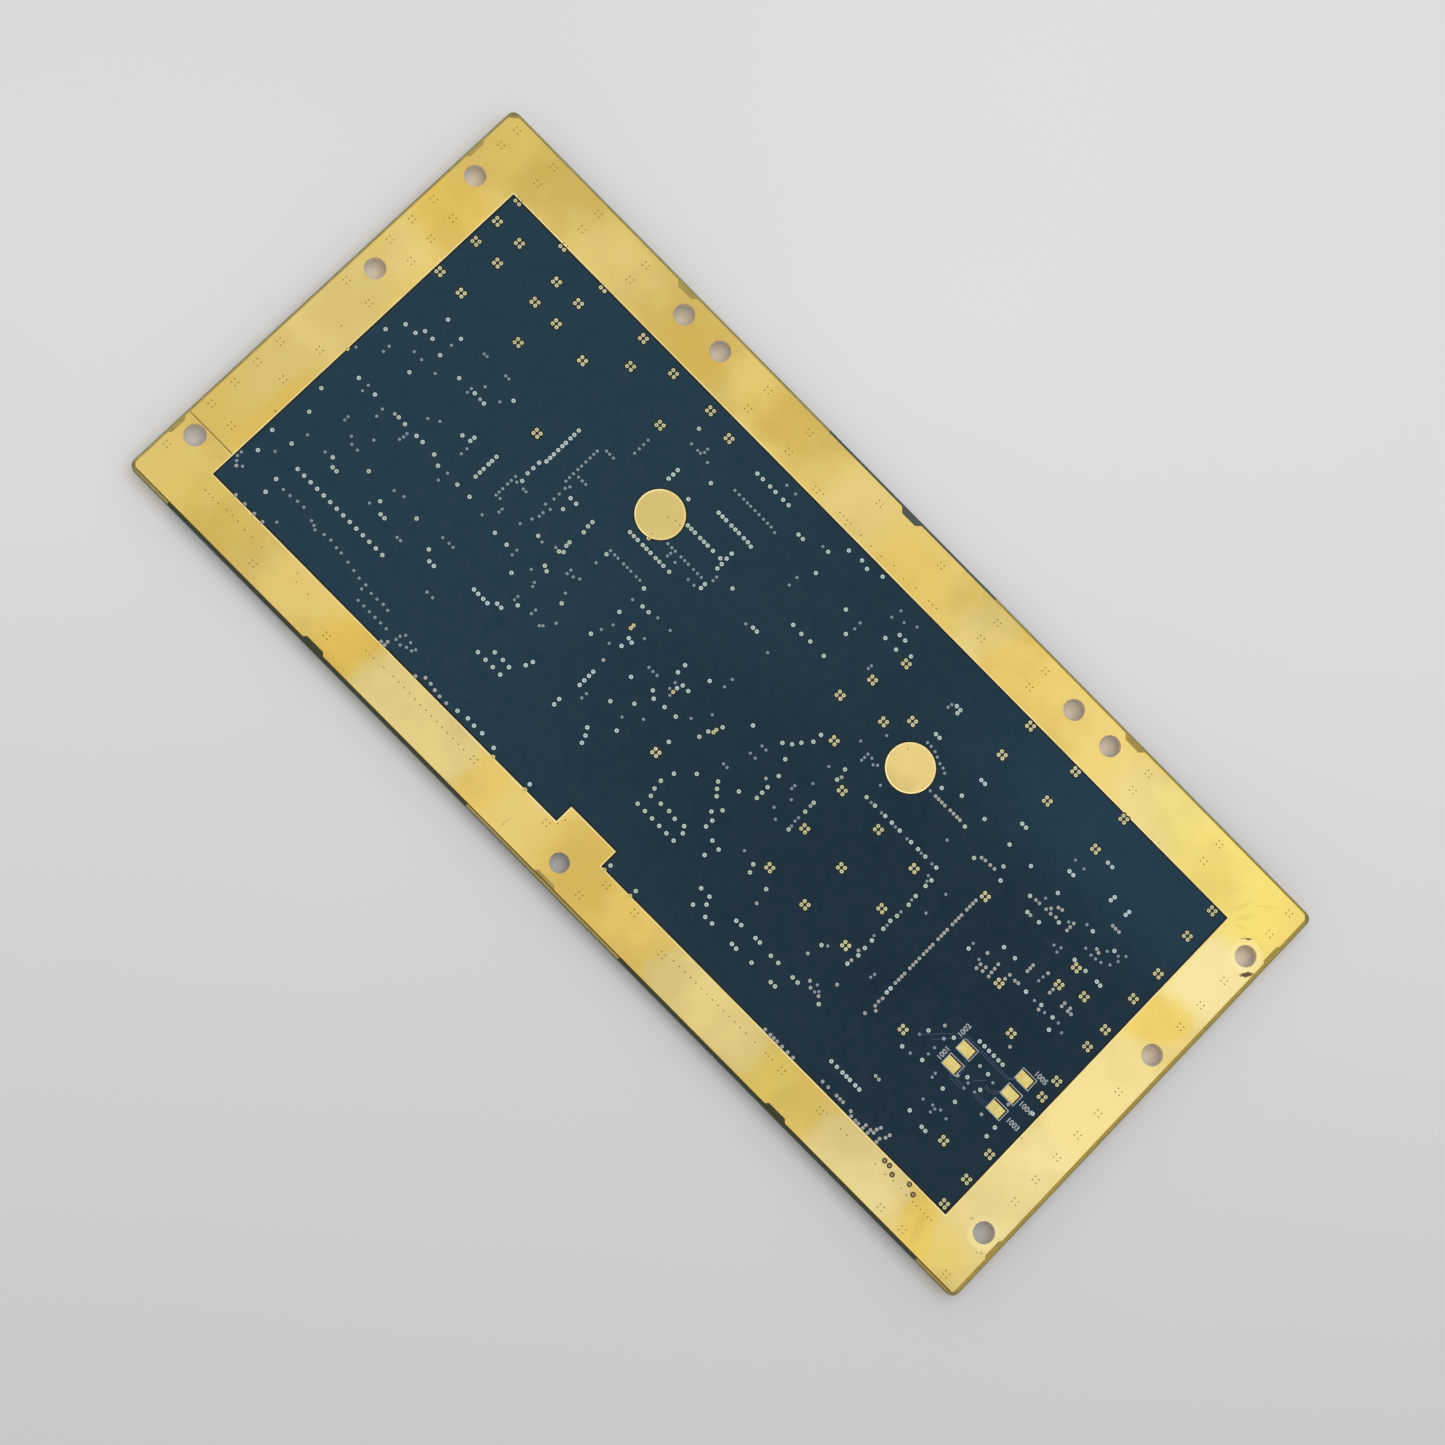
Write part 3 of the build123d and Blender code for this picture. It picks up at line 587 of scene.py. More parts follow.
openVias = [
    # lower left
    (16.2, 31.65), (32.2, 31.75), (37.85, 29.25), (25.6, 28.7), (26.95, 27.35), (28.0, 27.35),
    (18.35, 24.95), (13.95, 24.15), (14.9, 19.5), (21.25, 18.1), (21.65, 14.95), (39.7, 27.55),
    (40.75, 27.55), (45.0, 31.9), (50.85, 29.4), (52.55, 27.85), (53.8, 27.85), (67.3, 31.4),
    (68.4, 31.4), (70.25, 34.0), (73.65, 24.5), (75.75, 24.6),
    *rowOf(22.65, 22.35, 45.55, 22.3, 14), *lineOf(30.15, 62.3, 63.45, 64.8, 65.95),
    *lineOf(22.25, 71.4, 73.45, 75.4, 77.4),
    # middle left
    (21.45, 63.4), (25.85, 62.55), (20.05, 58.6), (22.1, 58.6), (25.4, 57.4), (16.55, 56.85),
    (19.05, 57.05), (31.1, 56.9), (35.25, 57.0), (37.9, 56.85), (14.6, 53.4), (23.75, 50.8),
    (17.95, 43.05), (22.35, 43.0), (28.65, 43.2), (30.4, 43.1), (33.55, 43.1), (35.2, 43.1),
    (14.5, 36.5), (41.4, 61.35), (39.5, 49.5), (41.4, 50.85), (41.3, 49.85), (38.45, 43.0),
    (40.5, 42.0), (45.65, 42.1), (48.95, 42.1), (57.25, 40.7), (60.45, 40.7), (64.95, 37.55),
    *columnOf(46.95, 51.3, 50.1, 49.2, 47.85, 46.85, 45.7),
    # left of the left pad
    *columnOf(54.2, 66.35, 65.15, 64.1, 62.85, 61.9, 60.8, 59.6, 58.6, 57.6),
    (53.4, 56.4), (53.4, 54.85), (53.35, 53.35), (53.7, 51.55), (62.5, 55.9), (64.0, 55.9),
    (63.0, 53.35), (63.4, 46.25), (68.7, 55.65), (68.7, 54.45), (68.95, 53.05), (68.45, 49.7),
    (68.5, 48.8), (69.0, 47.55), (68.3, 47.0), (68.4, 43.1), (69.4, 42.6), (75.0, 53.2),
    (75.8, 40.3), (72.9, 74.75), (72.9, 73.5), (72.85, 72.3), (70.0, 83.5),
    # below the left pad
    *lineOf(59.5, 75.1, 76.15, 77.2, 78.6, 79.6, 80.7, 82.1, 83.1, 84.2, 85.8),
    # right of the left pad
    *lineOf(68.5, 81.9, 82.85, 83.85, 85.3, 86.35, 87.35, 88.8, 90.8),
    (91.7, 70.75), (91.7, 69.35), (91.8, 67.9), (91.8, 66.7), (92.3, 62.8), (92.3, 61.7),
    (96.6, 66.05), (104.75, 63.5), (105.8, 63.5), (84.7, 53.7), (87.0, 51.05), (88.6, 51.1),
    # upper middle
    *lineOf(85.5, 84.1, 85.6, 87.6, 89.1, 91.2, 92.7),
    *lineOf(74.6, 84.3, 85.35, 86.35, 87.8, 88.85, 89.85, 91.2, 92.3),
    (93.3, 74.4), (98.1, 82.8), (99.3, 82.8), (104.5, 84.6), (107.15, 87.7), (110.3, 88.2),
    (112.15, 87.7), (115.35, 88.85), (105.75, 79.9), (114.85, 79.05), (79.15, 77.6), (78.35, 72.2),
    (109.8, 69.5), (112.15, 69.4), (114.4, 69.6), (118.2, 69.5), (118.2, 75.65), (125.7, 83.1),
    (127.2, 83.1), (124.15, 80.65), (127.2, 80.55), (130.15, 81.7),
    # centre
    (84.65, 47.1), (89.5, 44.8), (90.5, 44.6), (89.6, 42.75), (83.85, 40.2), (106.2, 50.15),
    (100.75, 48.9), (100.75, 46.95), (103.2, 45.8), (104.7, 45.8), (102.8, 44.65), (99.85, 41.0),
    (101.1, 40.0), (103.7, 40.35), (106.5, 40.6), (95.1, 39.85), (112.4, 41.1), (99.2, 36.65),
    (109.0, 36.2), (114.25, 45.6), (112.9, 43.05), (118.1, 50.05),
    # lower middle
    *columnOf(89.35, 35.35, 34.2, 32.95, 31.7),
    (77.55, 24.45), (80.0, 28.4), (79.5, 27.0), (88.55, 27.0), (88.6, 25.6), (95.65, 33.7),
    (100.5, 30.6), (96.15, 27.0), (97.0, 25.65), (97.5, 24.2), (114.0, 32.6), (113.2, 29.85),
    (113.4, 27.95), (113.9, 26.45), (76.7, 11.6), (79.1, 12.0), (80.9, 11.85), (83.0, 11.95),
    (86.5, 11.55), (96.2, 11.55), (117.9, 11.6), (124.7, 11.6),
    *rowOf(113.2, 23.6, 123.0, 23.5, 6),
    # controller's left
    (117.1, 35.7), (122.8, 35.4), (125.5, 34.3), (124.15, 32.6), (125.5, 31.5), (125.45, 29.85),
    (128.2, 28.8), (130.25, 28.45), (129.1, 25.8), (116.3, 26.75), (118.4, 26.9), (120.2, 26.6),
    (122.45, 26.9), (123.25, 25.75), (128.6, 58.2), (128.5, 56.2), (127.0, 54.4), (125.95, 52.9),
    (124.45, 51.75), (127.05, 49.9), (128.45, 46.7), (128.45, 43.65), (128.45, 42.15),
    (128.45, 40.7), (125.15, 39.1), (121.0, 37.6), (121.85, 36.45), (136.55, 56.8), (136.85, 54.3),
    (136.8, 47.9), (136.85, 45.5), (137.0, 40.8),
    # controller's foot
    (136.9, 31.2), (137.55, 29.65), (142.0, 29.6), (133.1, 20.85), (135.35, 20.85), (136.0, 19.4),
    (134.2, 17.55), (137.5, 17.55), (139.3, 17.6), (142.2, 21.25), (143.45, 21.35), (144.7, 17.55),
    (145.9, 17.5), (147.1, 21.55), (148.3, 21.55), (149.85, 17.7), (151.55, 21.25), (153.5, 21.3),
    (157.4, 21.3), (158.75, 21.3), (164.5, 21.25), (155.05, 17.7), (156.2, 17.7), (157.0, 29.6),
    # controller's head
    *lineOf(56.0, 143.25, 145.55, 148.35, 150.15, 152.3, 155.4, 157.3, 159.3, 162.3),
    (163.35, 53.6), (163.3, 52.0), (163.3, 49.25), (163.5, 47.1), (163.4, 43.95), (163.15, 42.35),
    (163.25, 40.3), (163.25, 37.15), (163.3, 35.15), (163.4, 33.25), (163.0, 30.65), (172.2, 33.2),
    (172.2, 32.15), (177.6, 49.4),
    # upper right
    (143.25, 81.25), (144.3, 81.2), (144.3, 80.35), (144.2, 74.4), (145.2, 74.4), (152.3, 67.75),
    (156.1, 69.5), (162.4, 69.45), (169.3, 69.45), (175.15, 69.45), (182.5, 69.5), (156.7, 74.4),
    (157.7, 74.4), (168.25, 74.1), (169.3, 74.1), (181.2, 74.15), (182.25, 74.15), (160.7, 65.65),
    (171.4, 65.55), (166.2, 62.6), (172.9, 63.2), (179.05, 65.2), (180.85, 62.6), (183.8, 62.8),
    (186.6, 65.55), (185.4, 80.75), (186.6, 80.75), (191.0, 76.9), (190.85, 75.95), (195.0, 76.9),
    (194.9, 76.0), (192.5, 69.1), (198.15, 69.4), (193.8, 62.6), (196.8, 62.6), (199.8, 62.7),
    (200.8, 62.6), (182.3, 54.5), (185.3, 54.5), (191.3, 51.45), (195.2, 51.75), (198.4, 51.6),
    (199.55, 49.4),
    # lower right
    *lineOf(38.25, 191.5, 192.8, 194.05, 195.35, 196.6, 197.75),
    *lineOf(15.3, 173.8, 175.3, 176.8, 177.85, 178.8, 180.25, 181.35),
    (183.0, 32.7), (187.45, 35.2), (186.05, 27.85), (192.65, 26.8), (196.1, 26.65), (205.0, 28.65),
    (205.0, 26.35), (191.0, 19.35), (194.8, 18.75), (195.85, 18.7), (194.55, 31.7), (198.0, 31.75),
    (208.4, 35.7), (197.0, 34.95), (181.5, 26.95),
]

filledVias = [
    # left
    (36.8, 56.9), (27.65, 43.1), (14.25, 14.5), (68.0, 11.7), (69.5, 11.6), (70.9, 11.3),
    (72.4, 11.1), (74.2, 11.1), (89.1, 38.35),
    # middle
    (142.6, 26.4), (137.15, 55.25), (136.8, 47.0), (127.05, 44.6),
    # fan-out column
    *columnOf(172.15, 57.0, 56.15, 55.3, 54.45, 53.0, 52.2, 51.35, 50.45, 49.0, 48.15,
              47.35, 46.45, 44.95, 44.15, 43.25, 42.4, 41.25, 40.3, 39.5, 38.6, 37.15,
              36.35, 35.5, 34.6),
    (172.45, 30.75), (172.3, 29.8), (172.4, 28.75), (173.15, 28.15), (172.0, 26.35),
    # fan-out rows
    *lineOf(65.75, 152.55, 153.4, 154.25, 155.1), *lineOf(65.85, 156.5, 157.4, 158.35, 159.15),
    (167.2, 63.7), (168.1, 63.85), (169.4, 63.9), (170.5, 63.95), (180.4, 65.45), (181.35, 65.5),
    # right
    (162.75, 33.95), (163.1, 31.65), (156.25, 26.6), (164.4, 26.4), (160.2, 23.2), (161.2, 22.35),
    (163.4, 22.3), (181.8, 19.35), (182.7, 19.3), (181.7, 62.6), (180.8, 51.4), (181.35, 48.9),
    (181.3, 47.8), (183.05, 65.6), (184.3, 65.6), (185.5, 65.85), (188.8, 65.6), (183.65, 66.4),
    (188.75, 56.05), (188.75, 55.25), (188.75, 54.45), (182.5, 49.2), (182.55, 48.25),
    (183.8, 51.35), (183.9, 50.25), (183.95, 49.3), (184.1, 48.35), (186.7, 50.3), (186.8, 51.5),
    (188.3, 51.4), (189.1, 51.55), (191.9, 57.05), (194.75, 55.5), (194.7, 54.6), (198.2, 55.25),
    (198.2, 54.4), (199.65, 55.3), (199.7, 54.55), (200.55, 54.6), (195.4, 50.75), (196.4, 41.7),
    (194.55, 72.65), (195.35, 72.65), (196.25, 72.65), (184.55, 67.55), (185.4, 67.75),
    (188.8, 67.5), (188.8, 66.5), (195.45, 67.2), (196.2, 66.9), (184.6, 35.6), (186.2, 33.7),
    (194.8, 34.95), (203.8, 33.6), (193.0, 30.6), (201.4, 28.6),
    # lower edge
    (18.25, 10.5), (20.65, 10.5), (23.2, 10.5), (25.4, 10.5), (58.15, 11.4), (57.25, 10.55),
    (58.15, 10.55), (66.45, 10.55), (183.05, 11.25), (186.95, 11.4), (188.2, 11.4), (189.0, 11.45),
    (190.6, 11.45), (189.0, 12.3), (189.35, 13.1), (191.3, 12.4), (191.55, 13.3),
    *lineOf(10.6, 160.6, 162.0, 162.9, 163.8, 165.15, 166.65, 168.1, 183.75, 184.9, 185.7,
            186.9, 188.2, 190.6),
    *lineOf(11.4, 175.3, 176.8, 179.05, 179.95, 180.8),
]

tentedVias = [
    # lower left
    (21.95, 35.4), (25.1, 34.1), (26.3, 33.05), (27.8, 33.05), (36.7, 27.55), (19.2, 28.3),
    (23.85, 28.4), (17.3, 21.65), (23.65, 17.65), (25.35, 17.75), (27.1, 18.0), (28.75, 18.05),
    (31.6, 17.3), (32.55, 17.0), (33.3, 16.55), (35.15, 17.15), (36.8, 17.3), (13.0, 17.0),
    (13.0, 16.0), (13.6, 15.2), (15.15, 15.25), (27.3, 12.4), (38.2, 32.6), (40.35, 33.15),
    (45.05, 26.7), (45.95, 26.7), (51.05, 32.9), (52.7, 33.0), (53.75, 33.0), (56.5, 23.4),
    (58.0, 23.4), (69.05, 35.2), (69.05, 34.3), (73.25, 35.8), (73.2, 34.75), (75.9, 34.2),
    (76.4, 34.7),
    # row over the lower edge
    (38.55, 17.05), (39.9, 17.0), (42.05, 16.7), (43.95, 16.35), (45.7, 16.05), (47.5, 16.05),
    (47.5, 14.95), (49.35, 15.65), (50.9, 15.65), (52.45, 15.8), (53.85, 15.6), (59.6, 14.7),
    (59.0, 13.8), (61.25, 14.4), (62.9, 14.1), (58.9, 12.85), (60.2, 12.65), (61.35, 13.2),
    (62.5, 13.4),
    *rowOf(48.6, 12.95, 56.15, 12.95, 6),
    # middle left
    (25.5, 60.35), (31.0, 63.7), (31.75, 63.75), (36.9, 63.7), (37.75, 63.7), (35.7, 59.35),
    (34.15, 57.15), (34.15, 56.1), (21.5, 54.3), (23.6, 54.2), (27.3, 54.2), (17.45, 51.55),
    (17.45, 50.05), (34.6, 48.3), (32.6, 47.0), (13.25, 46.85), (20.2, 43.35), (20.2, 41.8),
    (25.35, 42.05), (25.6, 40.3), (32.0, 42.1), (32.0, 41.2), (31.8, 40.3), (21.95, 36.3),
    (28.55, 36.65), (39.75, 59.3), (41.95, 48.3), (41.9, 46.85), (42.8, 42.3), (42.55, 40.1),
    (53.1, 41.4), (53.15, 50.65), (53.2, 46.1), (54.95, 50.6), (55.7, 50.6), (54.95, 44.95),
    (54.95, 44.1),
    *columnOf(52.2, 51.25, 50.1, 49.1, 47.8, 46.85, 46.0),
    # two columns left of the left pad, and round it
    *columnOf(59.5, 66.1, 65.15, 64.15, 63.0, 61.85, 60.85, 59.65, 58.6, 57.6),
    *lineOf(59.9, 60.65, 61.65, 62.6), *lineOf(67.4, 60.75, 61.6, 62.65),
    *columnOf(64.8, 74.75, 73.5, 72.3, 71.05),
    (60.85, 57.35), (60.4, 56.5), (60.4, 54.9), (60.4, 53.5), (60.0, 51.6), (61.35, 51.55),
    (60.85, 50.1), (60.85, 49.1), (60.25, 47.7), (59.3, 45.45), (64.75, 45.95), (67.35, 47.1),
    (67.1, 40.75), (69.3, 39.4), (69.65, 38.6), (62.55, 41.35), (62.55, 40.1), (74.8, 50.6),
    (72.45, 46.1), (72.45, 45.1), (73.7, 45.5), (74.85, 46.1), (74.9, 42.2), (77.8, 36.85),
    (71.1, 80.35), (72.85, 80.3), (73.6, 80.3), (74.05, 81.0), (74.0, 81.9), (75.85, 80.0),
    # right of the left pad and below it
    *lineOf(63.2, 81.75, 82.85, 83.8, 85.35, 86.35, 87.35, 88.75, 89.85, 90.9),
    *lineOf(54.25, 75.05, 76.2, 77.1, 78.6, 79.6, 80.6, 82.05, 83.05),
    (83.45, 62.25), (83.4, 61.45), (85.3, 61.6), (89.4, 61.1), (91.0, 61.1), (92.9, 65.4),
    (92.9, 64.4), (90.6, 51.6), (94.0, 51.6), (84.75, 50.6),
    # upper middle
    *lineOf(80.0, 83.4, 84.6, 85.8, 86.8, 87.7, 88.9, 90.0, 91.25, 92.35, 93.35),
    (94.6, 79.7), (89.7, 88.05), (92.1, 88.05), (103.05, 84.6), (103.8, 76.6), (103.8, 74.5),
    (122.55, 86.65), (127.0, 86.65), (124.6, 85.45), (122.15, 84.45), (118.65, 79.2), (118.7, 77.6),
    (126.05, 74.8), (126.0, 74.0), (142.35, 80.75), (142.2, 79.85), (137.65, 67.3),
    # arc over the right pad
    (144.2, 72.05), (145.2, 72.05), (146.45, 71.85), (147.5, 71.4), (148.75, 70.85), (149.8, 70.7),
    (150.7, 70.2), (151.1, 65.75),
    # centre
    (91.65, 46.9), (85.6, 44.45), (84.65, 42.2), (87.6, 41.4), (103.25, 63.0), (110.15, 62.1),
    (109.05, 53.5), (109.0, 51.4), (101.8, 45.15), (101.85, 43.6), (102.8, 42.7), (96.2, 43.6),
    (97.3, 43.6), (98.4, 43.6), (108.8, 42.45), (111.15, 45.9), (91.45, 31.45), (91.4, 30.25),
    (99.35, 33.15), (102.55, 35.8), (133.9, 31.85), (119.35, 40.75), (120.3, 40.75), (122.1, 48.5),
    (123.2, 48.5), (121.5, 45.9), (122.85, 45.9),
    # round the controller
    (134.85, 62.9), (137.6, 62.1), (138.7, 62.1), (137.6, 61.2), (137.55, 60.4), (139.75, 61.35),
    (140.45, 61.9), (143.55, 59.55), (133.95, 54.95), (134.1, 50.4), (131.95, 47.6), (131.9, 46.8),
    (133.35, 45.2), (132.05, 41.8), (133.85, 40.35), (136.75, 43.75), (136.75, 42.8),
    (136.95, 41.65), (162.3, 53.8), (162.85, 52.85), (163.25, 48.15), (163.4, 45.05), (163.3, 41.3),
    (162.9, 38.1), (167.2, 53.65), (167.0, 48.35), (160.1, 61.3), (157.95, 30.35), (168.15, 32.9),
    (168.0, 32.0), (161.75, 23.65), (162.3, 22.35), (162.85, 22.95),
    *lineOf(55.9, 144.6, 147.4, 151.2, 154.4, 158.3, 161.2),
    # right
    (180.55, 76.55), (182.9, 76.5), (181.5, 67.05), (190.8, 69.2), (187.9, 67.0), (199.4, 69.2),
    (200.1, 68.45), (197.2, 68.35), (199.4, 66.85), (200.5, 70.25), (193.8, 65.75), (195.45, 65.55),
    (196.6, 65.65), (197.8, 65.9), (188.95, 61.75), (190.3, 62.35), (190.3, 61.2), (191.7, 55.85),
    (191.6, 54.7), (193.65, 51.4), (196.65, 51.15), (199.95, 51.65), (201.7, 50.75),
    (177.55, 50.75), (180.5, 49.35), (182.25, 30.95), (186.1, 31.2), (186.1, 29.5), (189.6, 27.85),
    (189.7, 26.9), (183.5, 27.15), (198.8, 34.45), (195.4, 31.0), (197.5, 30.65), (195.5, 29.75),
    (193.45, 23.2), (194.25, 22.95), (195.2, 23.6), (197.1, 23.15), (194.05, 21.95), (191.35, 22.7),
]

print("vias")
viaTin = makePlain("viaTin", (180, 198, 202), (176, 190, 174), 0.4, 60, metallic=0.3)
viaGround = makePlain("viaGround", (204, 202, 160), (190, 190, 148), 0.4, 90, metallic=0.3)
viaFilled = makePlain("viaFilled", (170, 170, 166), (152, 156, 156), 0.45, 90, metallic=0.3)
viaTented = makePlain("viaTented", (140, 158, 168), (124, 142, 152), 0.45, 90)
# painted shade: the hollows' dark colours stand for the shade inside the vias' holes and dimples
viaHollowShade = makePlain("viaHollowShade", (118, 130, 124), (92, 104, 98), 0.6, 1500)
groundHollowShade = makePlain("groundHollowShade", (88, 80, 46), (70, 62, 34), 0.6, 1500)
tentHollowShade = makePlain("tentHollowShade", (70, 84, 92), (60, 74, 82), 0.6, 1500)
# the skirts are the mask's clearance round each ring, painted dark as its shade, brown between the ground
# vias' rings
viaSkirtShade = makePlain("viaSkirtShade", (18, 34, 38), (22, 40, 44), 0.6, 1500, specular=0.2)
groundSkirtShade = makePlain("groundSkirtShade", (42, 34, 16), (26, 28, 20), 0.6, 1500, specular=0.2)
stampRings("open_vias", openVias, viaLooks["open"], level["maskTop"], [viaTin, viaHollowShade, viaSkirtShade])
stampRings("ground_vias", fourRound(groundGroups, clusterStep) + groundPairs + groundSingles,
           viaLooks["ground"], level["maskTop"], [viaGround, groundHollowShade, groundSkirtShade])
stampRings("filled_vias", filledVias, viaLooks["filled"], level["maskTop"],
           [viaFilled, viaHollowShade, viaSkirtShade])
stampRings("tented_vias", tentedVias, viaLooks["tented"], level["maskTop"],
           [viaTented, tentHollowShade, viaSkirtShade])


# Drill marks and burnt vias in the gold border, and vias on its inner edge
dotLook = {"segments": 10, "skirt": 0.16, "ring": 0.144, "rise": 0.006, "over": 0.0}
burntLook = {"segments": 20, "skirt": 0.56, "ring": 0.5376, "hole": 0.27, "rise": 0.012, "over": 0.004,
             "wall": 0.02, "sink": 0.006}
edgeViaLook = {"segments": 20, "skirt": 0.46, "ring": 0.42, "hole": 0.18, "rise": 0.03, "over": 0.0,
               "wall": 0.03, "sink": 0.01}
dotStep = {"x": 0.5, "y": 0.43}

dotGroups = [
    (3.8, 99.5), (13.9, 99.5), (26.4, 99.35), (40.0, 98.9), (3.8, 95.1), (14.05, 94.9), (26.4, 94.85),
    (39.9, 94.6), (2.6, 78.1), (7.8, 78.1), (2.6, 72.3), (7.8, 72.2), (8.35, 66.35), (2.6, 66.4),
    (73.95, 98.7), (73.8, 93.25), (85.4, 98.65), (85.3, 93.1), (104.9, 98.7), (94.25, 91.6),
    (121.8, 98.7), (137.5, 98.7), (150.7, 98.75), (137.35, 94.15), (150.7, 94.2), (8.8, 54.7),
    (2.65, 54.7), (8.95, 41.45), (2.65, 37.2), (8.3, 32.5), (2.55, 31.3), (2.5, 25.5), (2.5, 19.5),
    (8.1, 19.2), (2.3, 8.0), (29.9, 3.7), (49.35, 4.0), (85.45, 7.3), (103.6, 8.6), (120.0, 8.4),
    (127.5, 8.5), (117.7, 3.4), (136.75, 6.6), (168.3, 7.3), (178.75, 7.15), (199.8, 2.45),
    (205.65, 2.4), (217.5, 2.4), (217.55, 33.1), (217.5, 27.2), (217.55, 21.4), (217.55, 68.15),
    (217.5, 50.6), (217.5, 44.8), (217.5, 39.0), (217.75, 99.4), (217.7, 93.7), (217.6, 80.7),
    (217.5, 74.0), (179.1, 99.0), (179.1, 94.45), (198.6, 99.2), (198.6, 94.6),
]
dotSingles = [
    # top border
    *lineOf(91.75, 100.7, 101.7, 102.7, 103.6), *lineOf(92.0, 95.9, 115.4, 121.4, 125.0, 126.05, 127.1),
    *lineOf(91.52, 106.7, 109.55, 112.4, 118.5), (103.1, 90.85),
    # upper halves of the three groups that the mask half covers
    (13.55, 90.35), (14.55, 90.35), (25.9, 90.35), (26.9, 90.35), (37.1, 90.3), (38.1, 90.3),
    # lower border
    *lineOf(7.05, 13.7, 14.7, 15.6, 17.1, 24.15, 26.1, 28.8, 38.05, 41.25),
    *lineOf(7.3, 19.1, 20.6, 22.1, 56.5, 57.5, 58.5), (37.0, 8.35), (61.1, 7.5),
    *rowOf(63.6, 7.55, 82.8, 7.25, 14), *rowOf(139.15, 7.4, 158.45, 7.5, 14),
    *lineOf(7.5, 160.9, 163.8, 164.6, 165.6, 184.05, 185.65, 193.35, 196.1, 201.7, 203.45, 204.5,
            205.5, 206.5, 207.5, 208.4),
    (180.15, 7.7), (198.05, 7.7), (200.1, 7.7), (105.2, 10.15), (105.75, 11.6),
    # ends
    (8.4, 47.75), (210.1, 30.9),
    # round pads
    (78.1, 66.8), (79.6, 67.4), (80.8, 67.4), (78.3, 62.3), (142.35, 68.5), (140.7, 65.35),
]
burntRings = [(194.2, 9.2), (195.5, 9.2), (197.05, 8.35), (200.7, 9.4), (202.55, 8.5)]
edgeVias = [(87.65, 10.2), (96.3, 10.15), (117.65, 10.15), (124.6, 10.15), (12.35, 45.45), (78.4, 61.3)]

print("drill marks")
drillShadow = makePlain("drillShadow", (160, 132, 60), (130, 106, 44), 0.7, 1500, specular=0.2)
dots = stampCones(fourRound(dotGroups, dotStep) + dotSingles, dotLook, level["goldTop"])
finishPiece("border_drill_marks", dots, [drillShadow])

burntGold = makePlain("burntGold", (62, 44, 14), (78, 56, 20), 0.6, 2500)
burntCore = makePlain("burntCore", (190, 158, 92), (164, 130, 68), 0.5, 2500)
stampRings("burnt_vias", burntRings, burntLook, level["goldTop"], [burntGold, burntCore])
stampRings("border_edge_vias", edgeVias, edgeViaLook, level["maskTop"], [padGold, drillShadow])


# Lines where the solder mask meets the gold: painted shade along the mask's edge and a painted highlight
# along the gold's
windowEdge = {
    "left": 12.35, "right": 209.65, "low": 10.2, "high": 90.05,
    "stepLeft": 104.75, "stepRight": 116.75, "stepHigh": 14.2,
    "maskLine": 0.36, "goldLine": 0.22, "padLine": 0.28, "rise": 0.006, "sunk": 0.002,
}


def windowFace(bm, height, grow=0.0):
    w = windowEdge
    left, right, low, high = w["left"] - grow, w["right"] + grow, w["low"] - grow, w["high"] + grow
    stepLeft, stepRight, stepHigh = w["stepLeft"] + grow, w["stepRight"] - grow, w["stepHigh"] - grow
    corners = [(left, low), (stepLeft, low), (stepLeft, stepHigh), (stepRight, stepHigh),
               (stepRight, low), (right, low), (right, high), (left, high)]
    bm.faces.new([bm.verts.new(onBoard(x, y, height)) for x, y in corners])


def keepBand(bm, width):
    # keeps only a band along the inside of each face's outline, raised by the line's height
    bm.normal_update()
    faces = list(bm.faces)
    made = bmesh.ops.inset_region(bm, faces=faces, thickness=mm(width), use_even_offset=True,
                                  use_boundary=True)
    bmesh.ops.delete(bm, geom=faces, context="FACES")
    raised = bmesh.ops.extrude_face_region(bm, geom=made["faces"])
    moved = [item for item in raised["geom"] if isinstance(item, bmesh.types.BMVert)]
    bmesh.ops.translate(bm, verts=moved, vec=(0, 0, mm(windowEdge["rise"])))
    bmesh.ops.recalc_face_normals(bm, faces=bm.faces)
    # in order of place, because the operators' own order changes from run to run
    verts = sorted(bm.verts, key=lambda vert: vert.co.to_tuple(7))
    faces = sorted(bm.faces, key=lambda face: face.calc_center_median().to_tuple(7))
    for items, ordered in ((bm.verts, verts), (bm.faces, faces)):
        items.sort(key={item: number for number, item in enumerate(ordered)}.get)


def ringPads(name, reach, width, height, material):
    # a band inwards from the reach, on both round pads
    bm = bmesh.new()
    for x, y in roundPads["places"]:
        seat = Matrix.Translation(onBoard(x, y, height - windowEdge["sunk"]))
        bmesh.ops.create_circle(bm, cap_ends=True, segments=roundPads["segments"], radius=mm(reach),
                                matrix=seat)
    keepBand(bm, width)
    finishPiece(name, bm, [material])


print("edges of the mask")
edgeShadow = makePlain("edgeShadow", (28, 25, 14), (38, 33, 18), 0.7, 1500, specular=0.2)
# painted highlight: a pale band on the gold along the mask's edge
goldRimHighlight = makePlain("goldRimHighlight", (232, 218, 160), (216, 198, 130), 0.4, 60, metallic=0.4)
bm = bmesh.new()
windowFace(bm, level["maskTop"] - windowEdge["sunk"])
keepBand(bm, windowEdge["maskLine"])
finishPiece("mask_window_edge", bm, [edgeShadow])
bm = bmesh.new()
windowFace(bm, level["goldTop"] - windowEdge["sunk"], windowEdge["goldLine"])
keepBand(bm, windowEdge["goldLine"])
finishPiece("gold_window_highlight", bm, [goldRimHighlight])
ringPads("round_pad_edges", roundPads["radius"] + windowEdge["padLine"], windowEdge["padLine"],
         level["maskTop"], edgeShadow)
# painted highlight round the inside of each round pad
ringPads("round_pad_highlights", roundPads["radius"], roundPads["rim"],
         level["goldTop"], goldRimHighlight)
